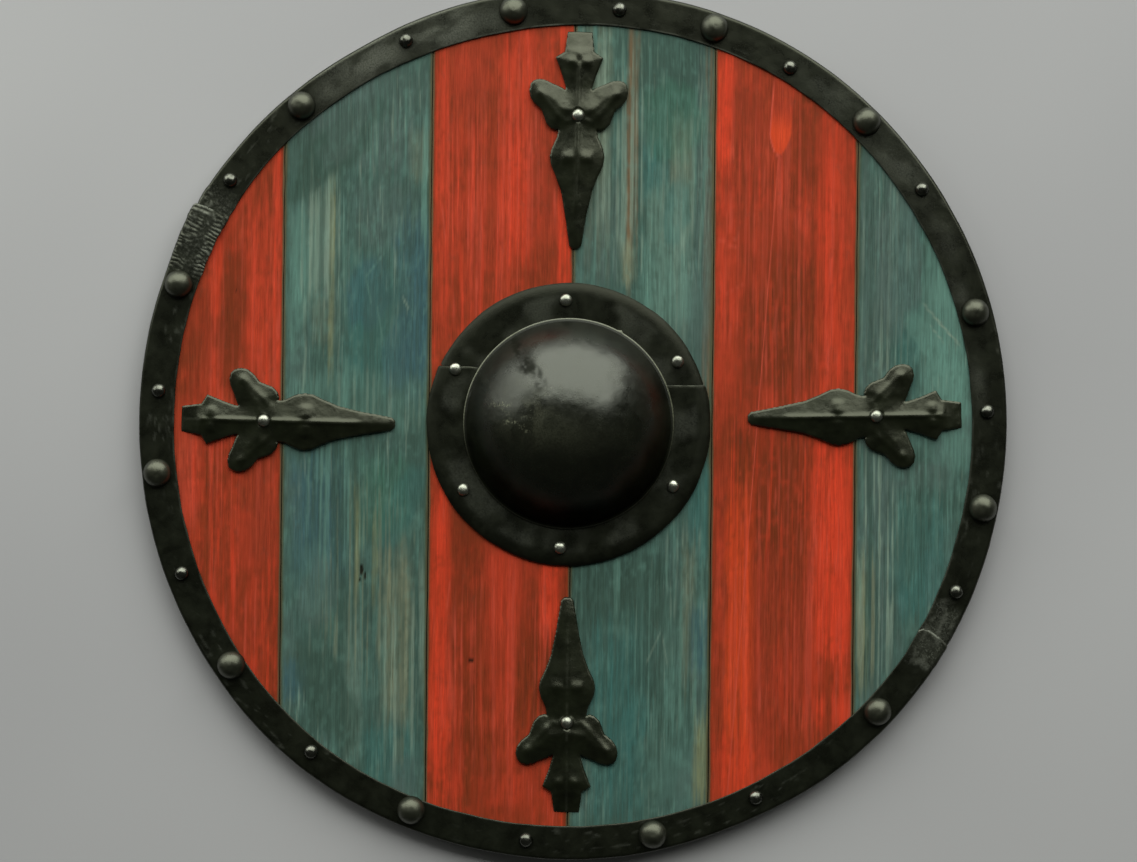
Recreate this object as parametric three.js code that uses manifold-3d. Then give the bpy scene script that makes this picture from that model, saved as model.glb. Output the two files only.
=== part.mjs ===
// Round plank shield with a folded iron rim, a hollow boss and four leaf-shaped iron straps.
//
// Frame: millimetres, +Z up. The shield lies on its back, so its painted front faces +Z, its top edge
// points along +Y and its right-hand edge, seen from the front, along +X. The origin is the middle of
// the underside, level with the back of the rim. Angles are in degrees, anticlockwise from +X.

import * as THREE from 'three';
import { mergeVertices } from 'three/addons/utils/BufferGeometryUtils.js';
import Module from 'manifold-3d';

const wasm = await Module();
wasm.setup();

// ---- Driving dimensions ----------------------------------------------------------------------------

const SHIELD_RADIUS = 304.8; // a 24 inch shield
const FIT_GAP = 0.3; // left between pieces that lie against each other

// Boards: six upright planks side by side.
const PLANK_THICKNESS = 12;
const PLANK_SEAMS = [-203.6, -100.8, -1.1, 97.1, 197.5]; // where neighbouring planks meet, along X
const SEAM_GAP = 0.8;
const SEAM_CHAMFER = 1;
const RIM_TO_PLANK = 2.4; // radial room between the boards and the inside of the rim
const CIRCLE_STEPS = 80;

// Rim: a sheet channel folded over the edge of the boards, in two half rings.
const RIM_SHEET = 1.3;
const RIM_FRONT_WIDTH = 24.3;
const RIM_BACK_WIDTH = 15;
const RIM_FOLD_RADIUS = 2.4;
const RIM_STEP = 360 / CIRCLE_STEPS;
const RIM_JOINT_RIGHT = -29.8;
const RIM_JOINT_LEFT = 150.1;

// The rim was bent by hand, so its edges wander. Each swelling holds the angle of its middle, its spread
// either way and how far out it reaches; a negative one lies inside the true circle.
const RIM_OUTER_SWELLS = [
  { at: 0, spread: 20, out: -1 }, { at: 60, spread: 18, out: 1.4 }, { at: 120, spread: 10, out: -1.6 },
  { at: 180, spread: 20, out: -1 }, { at: 230, spread: 16, out: 1.9 }, { at: 292, spread: 12, out: -1.8 },
  { at: 345, spread: 12, out: -0.6 },
];
const RIM_INNER_SWELLS = [
  { at: 0, spread: 20, out: -1.4 }, { at: 60, spread: 20, out: 1.5 }, { at: 105, spread: 18, out: -2 },
  { at: 140, spread: 10, out: 1 }, { at: 180, spread: 20, out: -1.4 }, { at: 233, spread: 25, out: 3.8 },
  { at: 322, spread: 14, out: 1.6 },
];
const JOINT_SWELL_UNDER = { at: 150, spread: 5, out: 1.1 }; // on the half that ends below the lap
const JOINT_SWELL_OVER = { at: 150, spread: 6, out: 2.7 };

// Fasteners on the rim: large domed studs, with a small rivet between each two. They were set by hand,
// so each row holds an angle and how far the head sits outside the ring they follow.
const FASTENER_RADIUS = 292.4;
const STUDS = [
  [98.8, 0], [71, 2], [46.5, 2.6], [16.2, -0.6], [-10.9, -0.2], [-42.7, 0],
  [-78.4, -0.6], [-112.2, -0.2], [-144.3, -0.4], [-172.8, 0.4], [161, 0.2], [131, 0.6],
];
const STUD_HEAD = { radius: 9.8, height: 9.2, skirt: 1, sides: 14, rings: 4 };
const RIM_RIVETS = [
  [84.2, -0.3], [59.3, -0.3], [34.6, 1.8], [2.4, -2.8], [-23, -0.2], [-63.3, -2.1],
  [-95.9, -0.2], [-128.1, 0.5], [-158.6, 0.3], [175.9, -1.7], [145.1, 2], [114.1, 0.4],
];
const RIM_RIVET_HEAD = { radius: 5, height: 4.6, skirt: 0.6, sides: 10, rings: 2 };

// Boss: a sheet dome on a raised collar made of two plates.
const BOSS_X = -3.2;
const BOSS_Y = 0.8;
const DOME_RADIUS = 72.4;
const DOME_HEIGHT = 45;
const DOME_SHEET = 1.5;
const DOME_LIP = 1.2; // how far the cut edge of the dome stands out at its foot
const DOME_SIDES = 40;
const DOME_RINGS = 6;
const COLLAR_INNER = 68;
const COLLAR_BEND = 91.5; // outside this radius the collar slopes down to the boards
const COLLAR_RISE = 2.2;
const COLLAR_UPPER = { outer: 98.4, sheet: 1.5 };
const COLLAR_LOWER = { outer: 99.3, sheet: 2 };
const COLLAR_SEAM_LEFT = 38.2; // how far above the boss centre, along Y, the two plates meet
const COLLAR_SEAM_RIGHT = 26.8;
const BOSS_RIVET_RADIUS = 86.2;
const BOSS_RIVETS = [[91.8, 0], [30.2, 1.4], [-30.4, -1.2], [-93.3, 0.7], [-147.2, 0.4], [154.9, 1.5]];
const LOW_RIVET_HEAD = { radius: 4.3, height: 3.2, skirt: 0.5, sides: 10, rings: 2 };

// Leaf straps. Each is measured along its own centre line from the pointed tip, and the four differ a
// little in length and breadth.
const STRAPS = [
  { name: 'top', tip: [0, 122.9], angle: 89.2, length: 152, breadth: 0.95, rivet: 93.2 },
  { name: 'right', tip: [122.2, 5.8], angle: 1.5, length: 149.6, breadth: 1, rivet: 89.5 },
  { name: 'bottom', tip: [-2.7, -120.5], angle: -89.7, length: 150.5, breadth: 0.98, rivet: 87.5 },
  { name: 'left', tip: [-124.5, -0.8], angle: 179.1, length: 149.5, breadth: 1, rivet: 91.5 },
];
const STRAP_LENGTH = 151; // of the outline below
const STRAP_EDGE = 2.2; // thickness along the outline
const STRAP_SLOPE = 0.26; // how steeply the faces climb from the outline to the ridge
const STRAP_CROWN = 1.3; // half width of the rounded ridge
const RIVET_SEAT_RADIUS = 5.2;
const RIVET_SEAT_HEIGHT = 5; // flat spot on the ridge under each rivet

// Each row of the blade: distance from the tip, half width.
const STRAP_BLADE = [
  [0, 2.2], [2.2, 4.4], [24, 8], [40, 11.4], [51, 15.7], [58, 19], [64, 20], [70, 18.8], [78, 15], [90, 13],
  [104, 10.6], [112, 9.8], [121, 12.6], [128.5, 15.6], [133, 17.4], [137, 10.8], [151, 9],
];

// Each row of a side leaf: distance from its root, width towards the tip side and the far side.
const STRAP_LEAF_ROOT = [90, 8];
const STRAP_LEAF_ANGLE = 46;
const STRAP_LEAF = [
  [0, 11, 14], [4, 13, 14], [9, 13, 14], [18, 8.7, 13], [25, 9.4, 10], [30, 8.4, 8.2], [34, 5.6, 5.6], [36.5, 1.6, 1.8],
];

// Hand hold behind the boss.
const HAND_HOLE_RADIUS = 62;
const GRIP_WIDTH = 28;
const GRIP_LENGTH = 210;
const GRIP_END_THICKNESS = 6; // the ends are let into the backs of the planks
const GRIP_THICKNESS = 20;
const GRIP_SHOULDER = 57; // where each end starts, from the middle
const GRIP_ROUNDING = 2;

// Heights worked out from the sizes above.
const BOARD_BACK = RIM_SHEET + FIT_GAP;
const BOARD_FRONT = BOARD_BACK + PLANK_THICKNESS;
const RIM_HEIGHT = BOARD_FRONT + FIT_GAP + RIM_SHEET;
const FRONT_SEAT = BOARD_FRONT + FIT_GAP; // where iron lies on the front of the boards
const DOME_FOOT = FRONT_SEAT + COLLAR_RISE + COLLAR_LOWER.sheet + FIT_GAP;
const PLANK_RADIUS = SHIELD_RADIUS - RIM_SHEET - RIM_TO_PLANK;

// ---- Materials -------------------------------------------------------------------------------------

function material(color, roughness, metalness) {
  return new THREE.MeshStandardMaterial({ color, roughness, metalness });
}

const redPaint = material(0xa83a24, 0.6, 0);
const tealPaint = material(0x42695f, 0.6, 0);
const bareWood = material(0x8a6a45, 0.75, 0);
const blackIron = material(0x171a15, 0.45, 0.8);
const strapIron = material(0x1b1e19, 0.4, 0.8);
const rivetSteel = material(0x9c9d92, 0.3, 1);

// ---- Working with solids ---------------------------------------------------------------------------

function toSolid(geometry) {
  const bare = new THREE.BufferGeometry();
  bare.setAttribute('position', geometry.getAttribute('position'));
  bare.setIndex(geometry.index);
  const merged = mergeVertices(bare);
  const vertProperties = new Float32Array(merged.getAttribute('position').array);
  const triVerts = new Uint32Array(merged.index.array);
  return new wasm.Manifold(new wasm.Mesh({ numProp: 3, vertProperties, triVerts }));
}

function toGeometry(solid) {
  const { vertProperties, triVerts } = solid.getMesh();
  const geometry = new THREE.BufferGeometry();
  geometry.setAttribute('position', new THREE.BufferAttribute(vertProperties, 3));
  geometry.setIndex(new THREE.BufferAttribute(triVerts, 1));
  return geometry;
}

function block(minimum, maximum) {
  const [width, depth, height] = maximum.map((value, axis) => value - minimum[axis]);
  const geometry = new THREE.BoxGeometry(width, depth, height);
  geometry.translate(minimum[0] + width / 2, minimum[1] + depth / 2, minimum[2] + height / 2);
  return toSolid(geometry);
}

function uprightCylinder(radius, bottom, top, sides) {
  const geometry = new THREE.CylinderGeometry(radius, radius, top - bottom, sides);
  geometry.rotateX(Math.PI / 2);
  geometry.translate(0, 0, (bottom + top) / 2);
  return toSolid(geometry);
}

// A turned piece about Z. The profile holds [radius, height] rows.
function turned(profile, sides) {
  const points = profile.map(([radius, height]) => new THREE.Vector2(radius, height));
  const geometry = new THREE.LatheGeometry(points, sides);
  geometry.rotateX(Math.PI / 2);
  return geometry;
}

// A closed solid skinned through equal rings of points, with a flat cap at each end. Each ring runs
// anticlockwise as seen from the far end, and section is its flat outline, for the caps.
function skinned(rings, section) {
  const size = section.length;
  const positions = rings.flat().flatMap((point) => point.toArray());
  const faces = [];
  for (let ring = 0; ring < rings.length - 1; ring += 1) {
    for (let corner = 0; corner < size; corner += 1) {
      const here = ring * size + corner;
      const beside = ring * size + ((corner + 1) % size);
      faces.push(here, beside, beside + size, here, beside + size, here + size);
    }
  }
  const lastRing = (rings.length - 1) * size;
  for (const [a, b, c] of THREE.ShapeUtils.triangulateShape(section, [])) {
    faces.push(a, c, b, lastRing + a, lastRing + b, lastRing + c);
  }
  const geometry = new THREE.BufferGeometry();
  geometry.setAttribute('position', new THREE.Float32BufferAttribute(positions, 3));
  geometry.setIndex(faces);
  return geometry;
}

const shield = new THREE.Group();

function addPiece(parent, name, geometry, finish) {
  const mesh = new THREE.Mesh(geometry, finish);
  mesh.name = name;
  parent.add(mesh);
  return mesh;
}

// ---- Boards ----------------------------------------------------------------------------------------

// One plank as a straight bar with its two front edges chamfered, before it is cut round.
function plankBar(left, right) {
  const section = new THREE.Shape();
  section.moveTo(left, 0);
  section.lineTo(right, 0);
  section.lineTo(right, PLANK_THICKNESS - SEAM_CHAMFER);
  section.lineTo(right - SEAM_CHAMFER, PLANK_THICKNESS);
  section.lineTo(left + SEAM_CHAMFER, PLANK_THICKNESS);
  section.lineTo(left, PLANK_THICKNESS - SEAM_CHAMFER);
  const bar = new THREE.ExtrudeGeometry(section, { depth: 2 * SHIELD_RADIUS, bevelEnabled: false });
  bar.rotateX(Math.PI / 2);
  bar.translate(0, SHIELD_RADIUS, BOARD_BACK);
  return toSolid(bar);
}

// What the hand hold takes out of the boards: the round hole and the recess for the grip's ends.
function handHoldCut() {
  const hole = uprightCylinder(HAND_HOLE_RADIUS, 0, RIM_HEIGHT, DOME_SIDES);
  const halfWidth = GRIP_WIDTH / 2 + FIT_GAP;
  const halfLength = GRIP_LENGTH / 2 + FIT_GAP;
  const recessTop = BOARD_BACK + GRIP_END_THICKNESS + FIT_GAP;
  const recess = block([-halfWidth, -halfLength, 0], [halfWidth, halfLength, recessTop]);
  return hole.add(recess).translate(BOSS_X, BOSS_Y, 0);
}

function addBoards() {
  const disc = uprightCylinder(PLANK_RADIUS, 0, RIM_HEIGHT, CIRCLE_STEPS);
  const handHold = handHoldCut();
  const edges = [-SHIELD_RADIUS, ...PLANK_SEAMS, SHIELD_RADIUS];
  for (let plank = 0; plank < edges.length - 1; plank += 1) {
    const bar = plankBar(edges[plank] + SEAM_GAP / 2, edges[plank + 1] - SEAM_GAP / 2);
    const solid = bar.intersect(disc).subtract(handHold);
    addPiece(shield, `plank_${plank + 1}`, toGeometry(solid), plank % 2 === 0 ? redPaint : tealPaint);
  }
}

// ---- Rim -------------------------------------------------------------------------------------------

// Cross-section of the channel, as distance in from its outer edge and height.
function rimSection() {
  const outline = new THREE.Shape();
  const fold = RIM_FOLD_RADIUS;
  outline.moveTo(fold, 0);
  outline.lineTo(RIM_BACK_WIDTH, 0);
  outline.lineTo(RIM_BACK_WIDTH, RIM_SHEET);
  outline.lineTo(RIM_SHEET, RIM_SHEET);
  outline.lineTo(RIM_SHEET, RIM_HEIGHT - RIM_SHEET);
  outline.lineTo(RIM_FRONT_WIDTH, RIM_HEIGHT - RIM_SHEET);
  outline.lineTo(RIM_FRONT_WIDTH, RIM_HEIGHT);
  outline.absarc(fold, RIM_HEIGHT - fold, fold, Math.PI / 2, Math.PI);
  outline.absarc(fold, fold, fold, Math.PI, 1.5 * Math.PI);
  const points = outline.getPoints(1);
  points.pop(); // the last arc ends where the outline began
  return points;
}

// How far out the swellings reach together at an angle.
function swelling(angle, swells) {
  return swells.reduce((sum, { at, spread, out }) => {
    const away = ((angle - at + 540) % 360) - 180;
    return sum + out * Math.exp(-((away / spread) ** 2));
  }, 0);
}

// One half ring between two joints. Only the front flange's inner edge follows the inner swellings.
function rimHalf(from, to, jointSwell) {
  const section = rimSection();
  const halfGap = THREE.MathUtils.radToDeg(FIT_GAP / 2 / SHIELD_RADIUS);
  const angles = [from + halfGap];
  for (let angle = Math.ceil(from / RIM_STEP) * RIM_STEP; angle < to - 1; angle += RIM_STEP) {
    if (angle > from + 1) angles.push(angle);
  }
  angles.push(to - halfGap);
  const rings = angles.map((angle) => {
    const radians = THREE.MathUtils.degToRad(angle);
    const outer = swelling(angle, [...RIM_OUTER_SWELLS, jointSwell]);
    const inner = swelling(angle, RIM_INNER_SWELLS);
    return section.map(({ x: inward, y: height }) => {
      const radius = SHIELD_RADIUS - inward + (inward < RIM_FRONT_WIDTH ? outer : inner);
      return new THREE.Vector3(radius * Math.cos(radians), radius * Math.sin(radians), height);
    });
  });
  return skinned(rings, section);
}

function addRim() {
  const upperRight = rimHalf(RIM_JOINT_RIGHT, RIM_JOINT_LEFT, JOINT_SWELL_UNDER);
  const lowerLeft = rimHalf(RIM_JOINT_LEFT, RIM_JOINT_RIGHT + 360, JOINT_SWELL_OVER);
  addPiece(shield, 'rim_upper_right', upperRight, blackIron);
  addPiece(shield, 'rim_lower_left', lowerLeft, blackIron);
}

// ---- Studs and rivets ------------------------------------------------------------------------------

// A domed head with a short straight skirt, sitting on z = 0.
function domedHead({ radius, height, skirt, sides, rings }) {
  const profile = [[0, 0], [radius, 0]];
  for (let ring = 0; ring <= rings; ring += 1) {
    const lift = (ring / rings) * (Math.PI / 2);
    profile.push([radius * Math.cos(lift), skirt + (height - skirt) * Math.sin(lift)]);
  }
  profile[profile.length - 1][0] = 0;
  return turned(profile, sides);
}

function addRing(prefix, head, finish, places, radius, centre, seat) {
  places.forEach(([angle, outside], index) => {
    const radians = THREE.MathUtils.degToRad(angle);
    const reach = radius + outside;
    const name = `${prefix}_${String(index + 1).padStart(2, '0')}`;
    const mesh = addPiece(shield, name, domedHead(head), finish);
    mesh.position.set(centre[0] + reach * Math.cos(radians), centre[1] + reach * Math.sin(radians), seat);
    mesh.rotation.z = radians;
  });
}

function addRimFasteners() {
  const seat = RIM_HEIGHT + FIT_GAP;
  addRing('rim_stud', STUD_HEAD, blackIron, STUDS, FASTENER_RADIUS, [0, 0], seat);
  addRing('rim_rivet', RIM_RIVET_HEAD, rivetSteel, RIM_RIVETS, FASTENER_RADIUS, [0, 0], seat);
}

// ---- Boss ------------------------------------------------------------------------------------------

// One full turn of the collar, flat under the dome and sloping down to the boards outside the rivets.
function collarRing({ outer, sheet }) {
  const profile = [
    [COLLAR_INNER, COLLAR_RISE],
    [COLLAR_BEND, COLLAR_RISE],
    [outer, 0],
    [outer, sheet],
    [COLLAR_BEND, COLLAR_RISE + sheet],
    [COLLAR_INNER, COLLAR_RISE + sheet],
    [COLLAR_INNER, COLLAR_RISE],
  ];
  return toSolid(turned(profile, DOME_SIDES)).translate(BOSS_X, BOSS_Y, FRONT_SEAT);
}

// The space above the line where the collar's plates meet, which lies lower on the right.
function aboveCollarSeam(gap) {
  const reach = 2 * COLLAR_LOWER.outer;
  const left = block([-reach, COLLAR_SEAM_LEFT + gap, 0], [0, reach, reach]);
  const right = block([0, COLLAR_SEAM_RIGHT + gap, 0], [reach, reach, reach]);
  return left.add(right).translate(BOSS_X, BOSS_Y, 0);
}

// The dome is an open spherical shell with a narrow cut edge standing out at its foot.
function domeShell() {
  const sphere = (DOME_RADIUS ** 2 + DOME_HEIGHT ** 2) / (2 * DOME_HEIGHT);
  const centre = DOME_HEIGHT - sphere;
  const footAngle = Math.asin(-centre / sphere);
  const profile = [];
  for (let ring = 0; ring <= DOME_RINGS; ring += 1) {
    const lift = Math.PI / 2 + (footAngle + 0.03 - Math.PI / 2) * (ring / DOME_RINGS);
    profile.push([sphere * Math.cos(lift), centre + sphere * Math.sin(lift)]);
  }
  profile.push([DOME_RADIUS + DOME_LIP, DOME_SHEET], [DOME_RADIUS + DOME_LIP, 0]);
  const inner = sphere - DOME_SHEET;
  const innerFoot = Math.asin(-centre / inner);
  for (let ring = DOME_RINGS; ring >= 0; ring -= 1) {
    const lift = Math.PI / 2 + (innerFoot - Math.PI / 2) * (ring / DOME_RINGS);
    profile.push([inner * Math.cos(lift), centre + inner * Math.sin(lift)]);
  }
  profile[0][0] = 0;
  profile[profile.length - 1][0] = 0;
  return turned(profile.reverse(), DOME_SIDES);
}

function addBoss() {
  const upper = collarRing(COLLAR_UPPER).intersect(aboveCollarSeam(FIT_GAP / 2));
  const lower = collarRing(COLLAR_LOWER).subtract(aboveCollarSeam(-FIT_GAP / 2));
  addPiece(shield, 'boss_collar_upper', toGeometry(upper), blackIron);
  addPiece(shield, 'boss_collar_lower', toGeometry(lower), blackIron);
  const dome = addPiece(shield, 'boss_dome', domeShell(), blackIron);
  dome.position.set(BOSS_X, BOSS_Y, DOME_FOOT);
  addRing('boss_rivet', LOW_RIVET_HEAD, rivetSteel, BOSS_RIVETS, BOSS_RIVET_RADIUS, [BOSS_X, BOSS_Y], DOME_FOOT);
}

// ---- Leaf straps -----------------------------------------------------------------------------------

// Cross-section of a strap: flat below, an upright edge each side and two faces up to a narrow crown.
function ridgedSection(left, right) {
  const crown = Math.min(STRAP_CROWN, 0.8 * left, 0.8 * right);
  const ridge = STRAP_EDGE + STRAP_SLOPE * ((left + right) / 2);
  const corners = [[-right, 0], [left, 0], [left, STRAP_EDGE], [crown, ridge], [-crown, ridge], [-right, STRAP_EDGE]];
  return corners.map(([across, height]) => new THREE.Vector2(across, height));
}

// A ridged bar that runs along +X through rows of distance, width to the left and width to the right.
function ridgedBar(rows) {
  const rings = rows.map(([along, left, right]) =>
    ridgedSection(left, right).map(({ x: across, y: height }) => new THREE.Vector3(along, across, height)));
  const [, left, right] = rows[0];
  return skinned(rings, ridgedSection(left, right));
}

// A side leaf swept back from the blade; side is 1 for the one on the left of the centre line, else -1.
function sideLeaf(side) {
  const rows = STRAP_LEAF.map(([along, near, far]) => (side > 0 ? [along, near, far] : [along, far, near]));
  const leaf = toSolid(ridgedBar(rows));
  return leaf.rotate(0, 0, side * STRAP_LEAF_ANGLE).translate(STRAP_LEAF_ROOT[0], side * STRAP_LEAF_ROOT[1], 0);
}

function strapSolid({ length, breadth, rivet }) {
  const blade = toSolid(ridgedBar(STRAP_BLADE.map(([along, half]) => [along, half, half])));
  const outline = blade.add(sideLeaf(1)).add(sideLeaf(-1)).scale([length / STRAP_LENGTH, breadth, 1]);
  const seat = uprightCylinder(RIVET_SEAT_RADIUS, RIVET_SEAT_HEIGHT, 3 * RIVET_SEAT_HEIGHT, 16);
  return outline.subtract(seat.translate(rivet, 0, 0));
}

function addStraps() {
  for (const strap of STRAPS) {
    const place = new THREE.Group();
    place.position.set(strap.tip[0], strap.tip[1], FRONT_SEAT);
    place.rotation.z = THREE.MathUtils.degToRad(strap.angle);
    addPiece(place, `strap_${strap.name}`, toGeometry(strapSolid(strap)), strapIron);
    const head = addPiece(place, `strap_rivet_${strap.name}`, domedHead(LOW_RIVET_HEAD), rivetSteel);
    head.position.set(strap.rivet, 0, RIVET_SEAT_HEIGHT + FIT_GAP);
    shield.add(place);
  }
}

// ---- Grip ------------------------------------------------------------------------------------------

// A bar across the hand hole: thick and rounded in the middle, thin at the ends, flush with the back.
function addGrip() {
  const half = GRIP_LENGTH / 2;
  const crest = GRIP_SHOULDER - 12;
  const side = new THREE.Shape();
  side.moveTo(-half, 0);
  side.lineTo(half, 0);
  side.lineTo(half, GRIP_END_THICKNESS);
  side.lineTo(GRIP_SHOULDER, GRIP_END_THICKNESS);
  side.quadraticCurveTo(GRIP_SHOULDER - 1, GRIP_THICKNESS, crest, GRIP_THICKNESS);
  side.lineTo(-crest, GRIP_THICKNESS);
  side.quadraticCurveTo(1 - GRIP_SHOULDER, GRIP_THICKNESS, -GRIP_SHOULDER, GRIP_END_THICKNESS);
  side.lineTo(-half, GRIP_END_THICKNESS);
  const geometry = new THREE.ExtrudeGeometry(side, {
    depth: GRIP_WIDTH - 2 * GRIP_ROUNDING,
    curveSegments: 4,
    bevelThickness: GRIP_ROUNDING,
    bevelSize: GRIP_ROUNDING,
    bevelOffset: -GRIP_ROUNDING,
    bevelSegments: 2,
  });
  geometry.translate(0, 0, GRIP_ROUNDING - GRIP_WIDTH / 2);
  geometry.rotateX(Math.PI / 2);
  geometry.rotateZ(Math.PI / 2);
  const grip = addPiece(shield, 'grip', geometry, bareWood);
  grip.position.set(BOSS_X, BOSS_Y, BOARD_BACK);
}

addBoards();
addRim();
addRimFasteners();
addBoss();
addStraps();
addGrip();

export default shield;
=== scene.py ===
import math

import bmesh
import bpy
import numpy as np
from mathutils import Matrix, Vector


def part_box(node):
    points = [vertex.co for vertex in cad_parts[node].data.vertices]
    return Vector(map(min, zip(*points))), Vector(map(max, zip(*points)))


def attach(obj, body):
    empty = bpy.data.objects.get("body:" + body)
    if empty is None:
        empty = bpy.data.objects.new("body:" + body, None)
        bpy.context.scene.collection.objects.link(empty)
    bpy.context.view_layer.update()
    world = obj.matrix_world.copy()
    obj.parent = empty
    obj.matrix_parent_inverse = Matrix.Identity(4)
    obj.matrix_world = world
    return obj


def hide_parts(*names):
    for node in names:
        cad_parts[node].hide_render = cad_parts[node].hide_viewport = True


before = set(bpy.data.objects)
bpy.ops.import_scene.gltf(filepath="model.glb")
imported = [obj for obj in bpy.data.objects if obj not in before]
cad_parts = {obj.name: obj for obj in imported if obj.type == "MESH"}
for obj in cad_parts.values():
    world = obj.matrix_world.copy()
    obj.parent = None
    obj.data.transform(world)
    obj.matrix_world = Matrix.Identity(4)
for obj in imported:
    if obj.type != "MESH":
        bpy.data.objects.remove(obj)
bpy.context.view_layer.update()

MM = 0.001

# ---- Sizes, as the frame's source has them -----------------------------------------------------------

SHIELD_RADIUS = 304.8
BOARD_RADIUS = 301.1
BOARD_BACK = 1.6
BOARD_FRONT = 13.6
RIM_HEIGHT = 15.2
RIM_SHEET = 1.3
RIM_FRONT_WIDTH = 24.3
RIM_BACK_WIDTH = 15.0
RIM_FOLD_RADIUS = 2.4
JOINT_RIGHT = -29.8
JOINT_LEFT = 150.1
# Where the rim's outer and inner edges wander from a circle: angle, spread and how far out.
OUTER_SWELLS = [(0, 20, -1), (60, 18, 1.4), (120, 10, -1.6), (180, 20, -1), (230, 16, 1.9), (292, 12, -1.8),
                (345, 12, -0.6)]
INNER_SWELLS = [(0, 20, -1.4), (60, 20, 1.5), (105, 18, -2), (140, 10, 1), (180, 20, -1.4), (233, 25, 3.8),
                (322, 14, 1.6)]
JOINT_SWELL_UNDER = (150, 5, 1.1)
JOINT_SWELL_OVER = (150, 6, 2.7)
BOSS_X, BOSS_Y = -3.2, 0.8
DOME_RADIUS, DOME_HEIGHT, DOME_SHEET, DOME_LIP = 72.4, 45.0, 1.5, 1.2
DOME_FOOT = 18.4
COLLAR_INNER, COLLAR_BEND, COLLAR_RISE = 68.0, 91.5, 2.2
COLLAR_SEAT = 13.9
COLLAR_UPPER = (98.4, 1.5)
COLLAR_LOWER = (99.3, 2.0)
SEAM_LEFT, SEAM_RIGHT = 38.2, 26.8
HAND_HOLE_RADIUS = 62.0
GRIP_WIDTH, GRIP_LENGTH, GRIP_END = 28.0, 210.0, 6.0
RECESS_GAP = 0.3
STRAP_LENGTH, STRAP_EDGE = 151.0, 2.2
STRAP_ROOF, STRAP_ROUND = 0.2, 1.2
STRAP_SEAT = 13.9
# Each strap: its inner tip, the way it runs out, its length, a factor on its width and where its rivet is.
STRAPS = {
    "top": dict(tip=(0, 122.9), angle=89.2, length=152, breadth=0.95, rivet=93.2),
    "right": dict(tip=(122.2, 5.8), angle=1.5, length=149.6, breadth=1, rivet=89.5),
    "bottom": dict(tip=(-2.7, -120.5), angle=-89.7, length=150.5, breadth=0.98, rivet=87.5),
    "left": dict(tip=(-124.5, -0.8), angle=179.1, length=149.5, breadth=1, rivet=91.5),
}
# A strap's blade, as distance along and half width, and a leaf, with its half widths to the left and right.
BLADE = [(0, 2.2), (2.2, 4.4), (24, 8), (40, 11.4), (51, 15.7), (58, 19), (64, 20), (70, 18.8), (78, 15),
         (90, 13), (104, 10.6), (112, 9.8), (121, 12.6), (128.5, 15.6), (133, 17.4), (137, 10.8), (151, 9)]
LEAF_ROOT, LEAF_ANGLE = (90, 8), 46
LEAF = [(0, 11, 14), (4, 13, 14), (9, 13, 14), (18, 8.7, 13), (25, 9.4, 10), (30, 8.4, 8.2), (34, 5.6, 5.6),
        (36.5, 1.6, 1.8)]

# ---- Camera and lights: straight down on the shield, as a photograph of it hung on a wall --------------

VIEW_X, VIEW_Y = -3.17 * MM, -4.44 * MM
VIEW_WIDTH = 795.1 * MM  # how much the view takes in at the height of the rim
VIEW_DISTANCE = 2.0
VIEW_ROLL = math.radians(0.6)
SENSOR = 36.0
ROOM_LIGHT = 0.04
ROOM_TINT = (0.95, 1.0, 0.86)
LIGHT_TINT = (0.97, 1.0, 0.9)
# Each softbox: the way to it from the shield, distance, width, height and brightness.
SOFTBOXES = [
    ("overhead", (0.13, 0.80, 0.55), 3.6, 6.0, 4.2, 3.6),
    ("side", (-0.77, 0.52, 0.34), 3.0, 1.9, 1.8, 3.0),
]
FLOOR_REACH, FLOOR_Z = 4.0, -0.0003  # metres; a hair below the rim's back, so that the two don't coincide


def add_camera():
    data = bpy.data.cameras.new("camera")
    data.sensor_fit = "HORIZONTAL"
    data.sensor_width = SENSOR
    data.lens = SENSOR * VIEW_DISTANCE / VIEW_WIDTH
    data.clip_start = 0.01
    camera = bpy.data.objects.new("camera", data)
    camera.location = (VIEW_X, VIEW_Y, RIM_HEIGHT * MM + VIEW_DISTANCE)
    camera.rotation_euler = (0, 0, VIEW_ROLL)
    bpy.context.scene.collection.objects.link(camera)
    bpy.context.scene.camera = camera


def add_softbox(name, direction, distance, width, height, radiance):
    """A rectangular light that faces the shield; direction is from the shield, and height runs up."""
    data = bpy.data.lights.new(name, "AREA")
    data.shape = "RECTANGLE"
    data.size, data.size_y = width, height
    data.energy = radiance * math.pi * width * height
    data.color = LIGHT_TINT
    light = bpy.data.objects.new(name, data)
    away = Vector(direction).normalized()
    light.location = away * distance
    light.rotation_euler = away.to_track_quat("Z", "Y").to_euler()
    bpy.context.scene.collection.objects.link(light)


def add_stage():
    world = bpy.data.worlds.new("studio")
    world.use_nodes = True
    background = world.node_tree.nodes["Background"]
    background.inputs["Color"].default_value = (*ROOM_TINT, 1)
    background.inputs["Strength"].default_value = ROOM_LIGHT
    bpy.context.scene.world = world
    bpy.context.scene.view_settings.view_transform = "Standard"
    for softbox in SOFTBOXES:
        add_softbox(*softbox)
    mesh = bpy.data.meshes.new("floor")
    corners = [(x * FLOOR_REACH, y * FLOOR_REACH, 0) for x, y in ((-1, -1), (1, -1), (1, 1), (-1, 1))]
    mesh.from_pydata(corners, [], [(0, 1, 2, 3)])
    floor = bpy.data.objects.new("floor", mesh)
    floor.location.z = FLOOR_Z
    bpy.context.scene.collection.objects.link(floor)
    floor.data.materials.append(floor_material())


# ---- Smooth noise, steps and lines on arrays ------------------------------------------------------------


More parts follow.
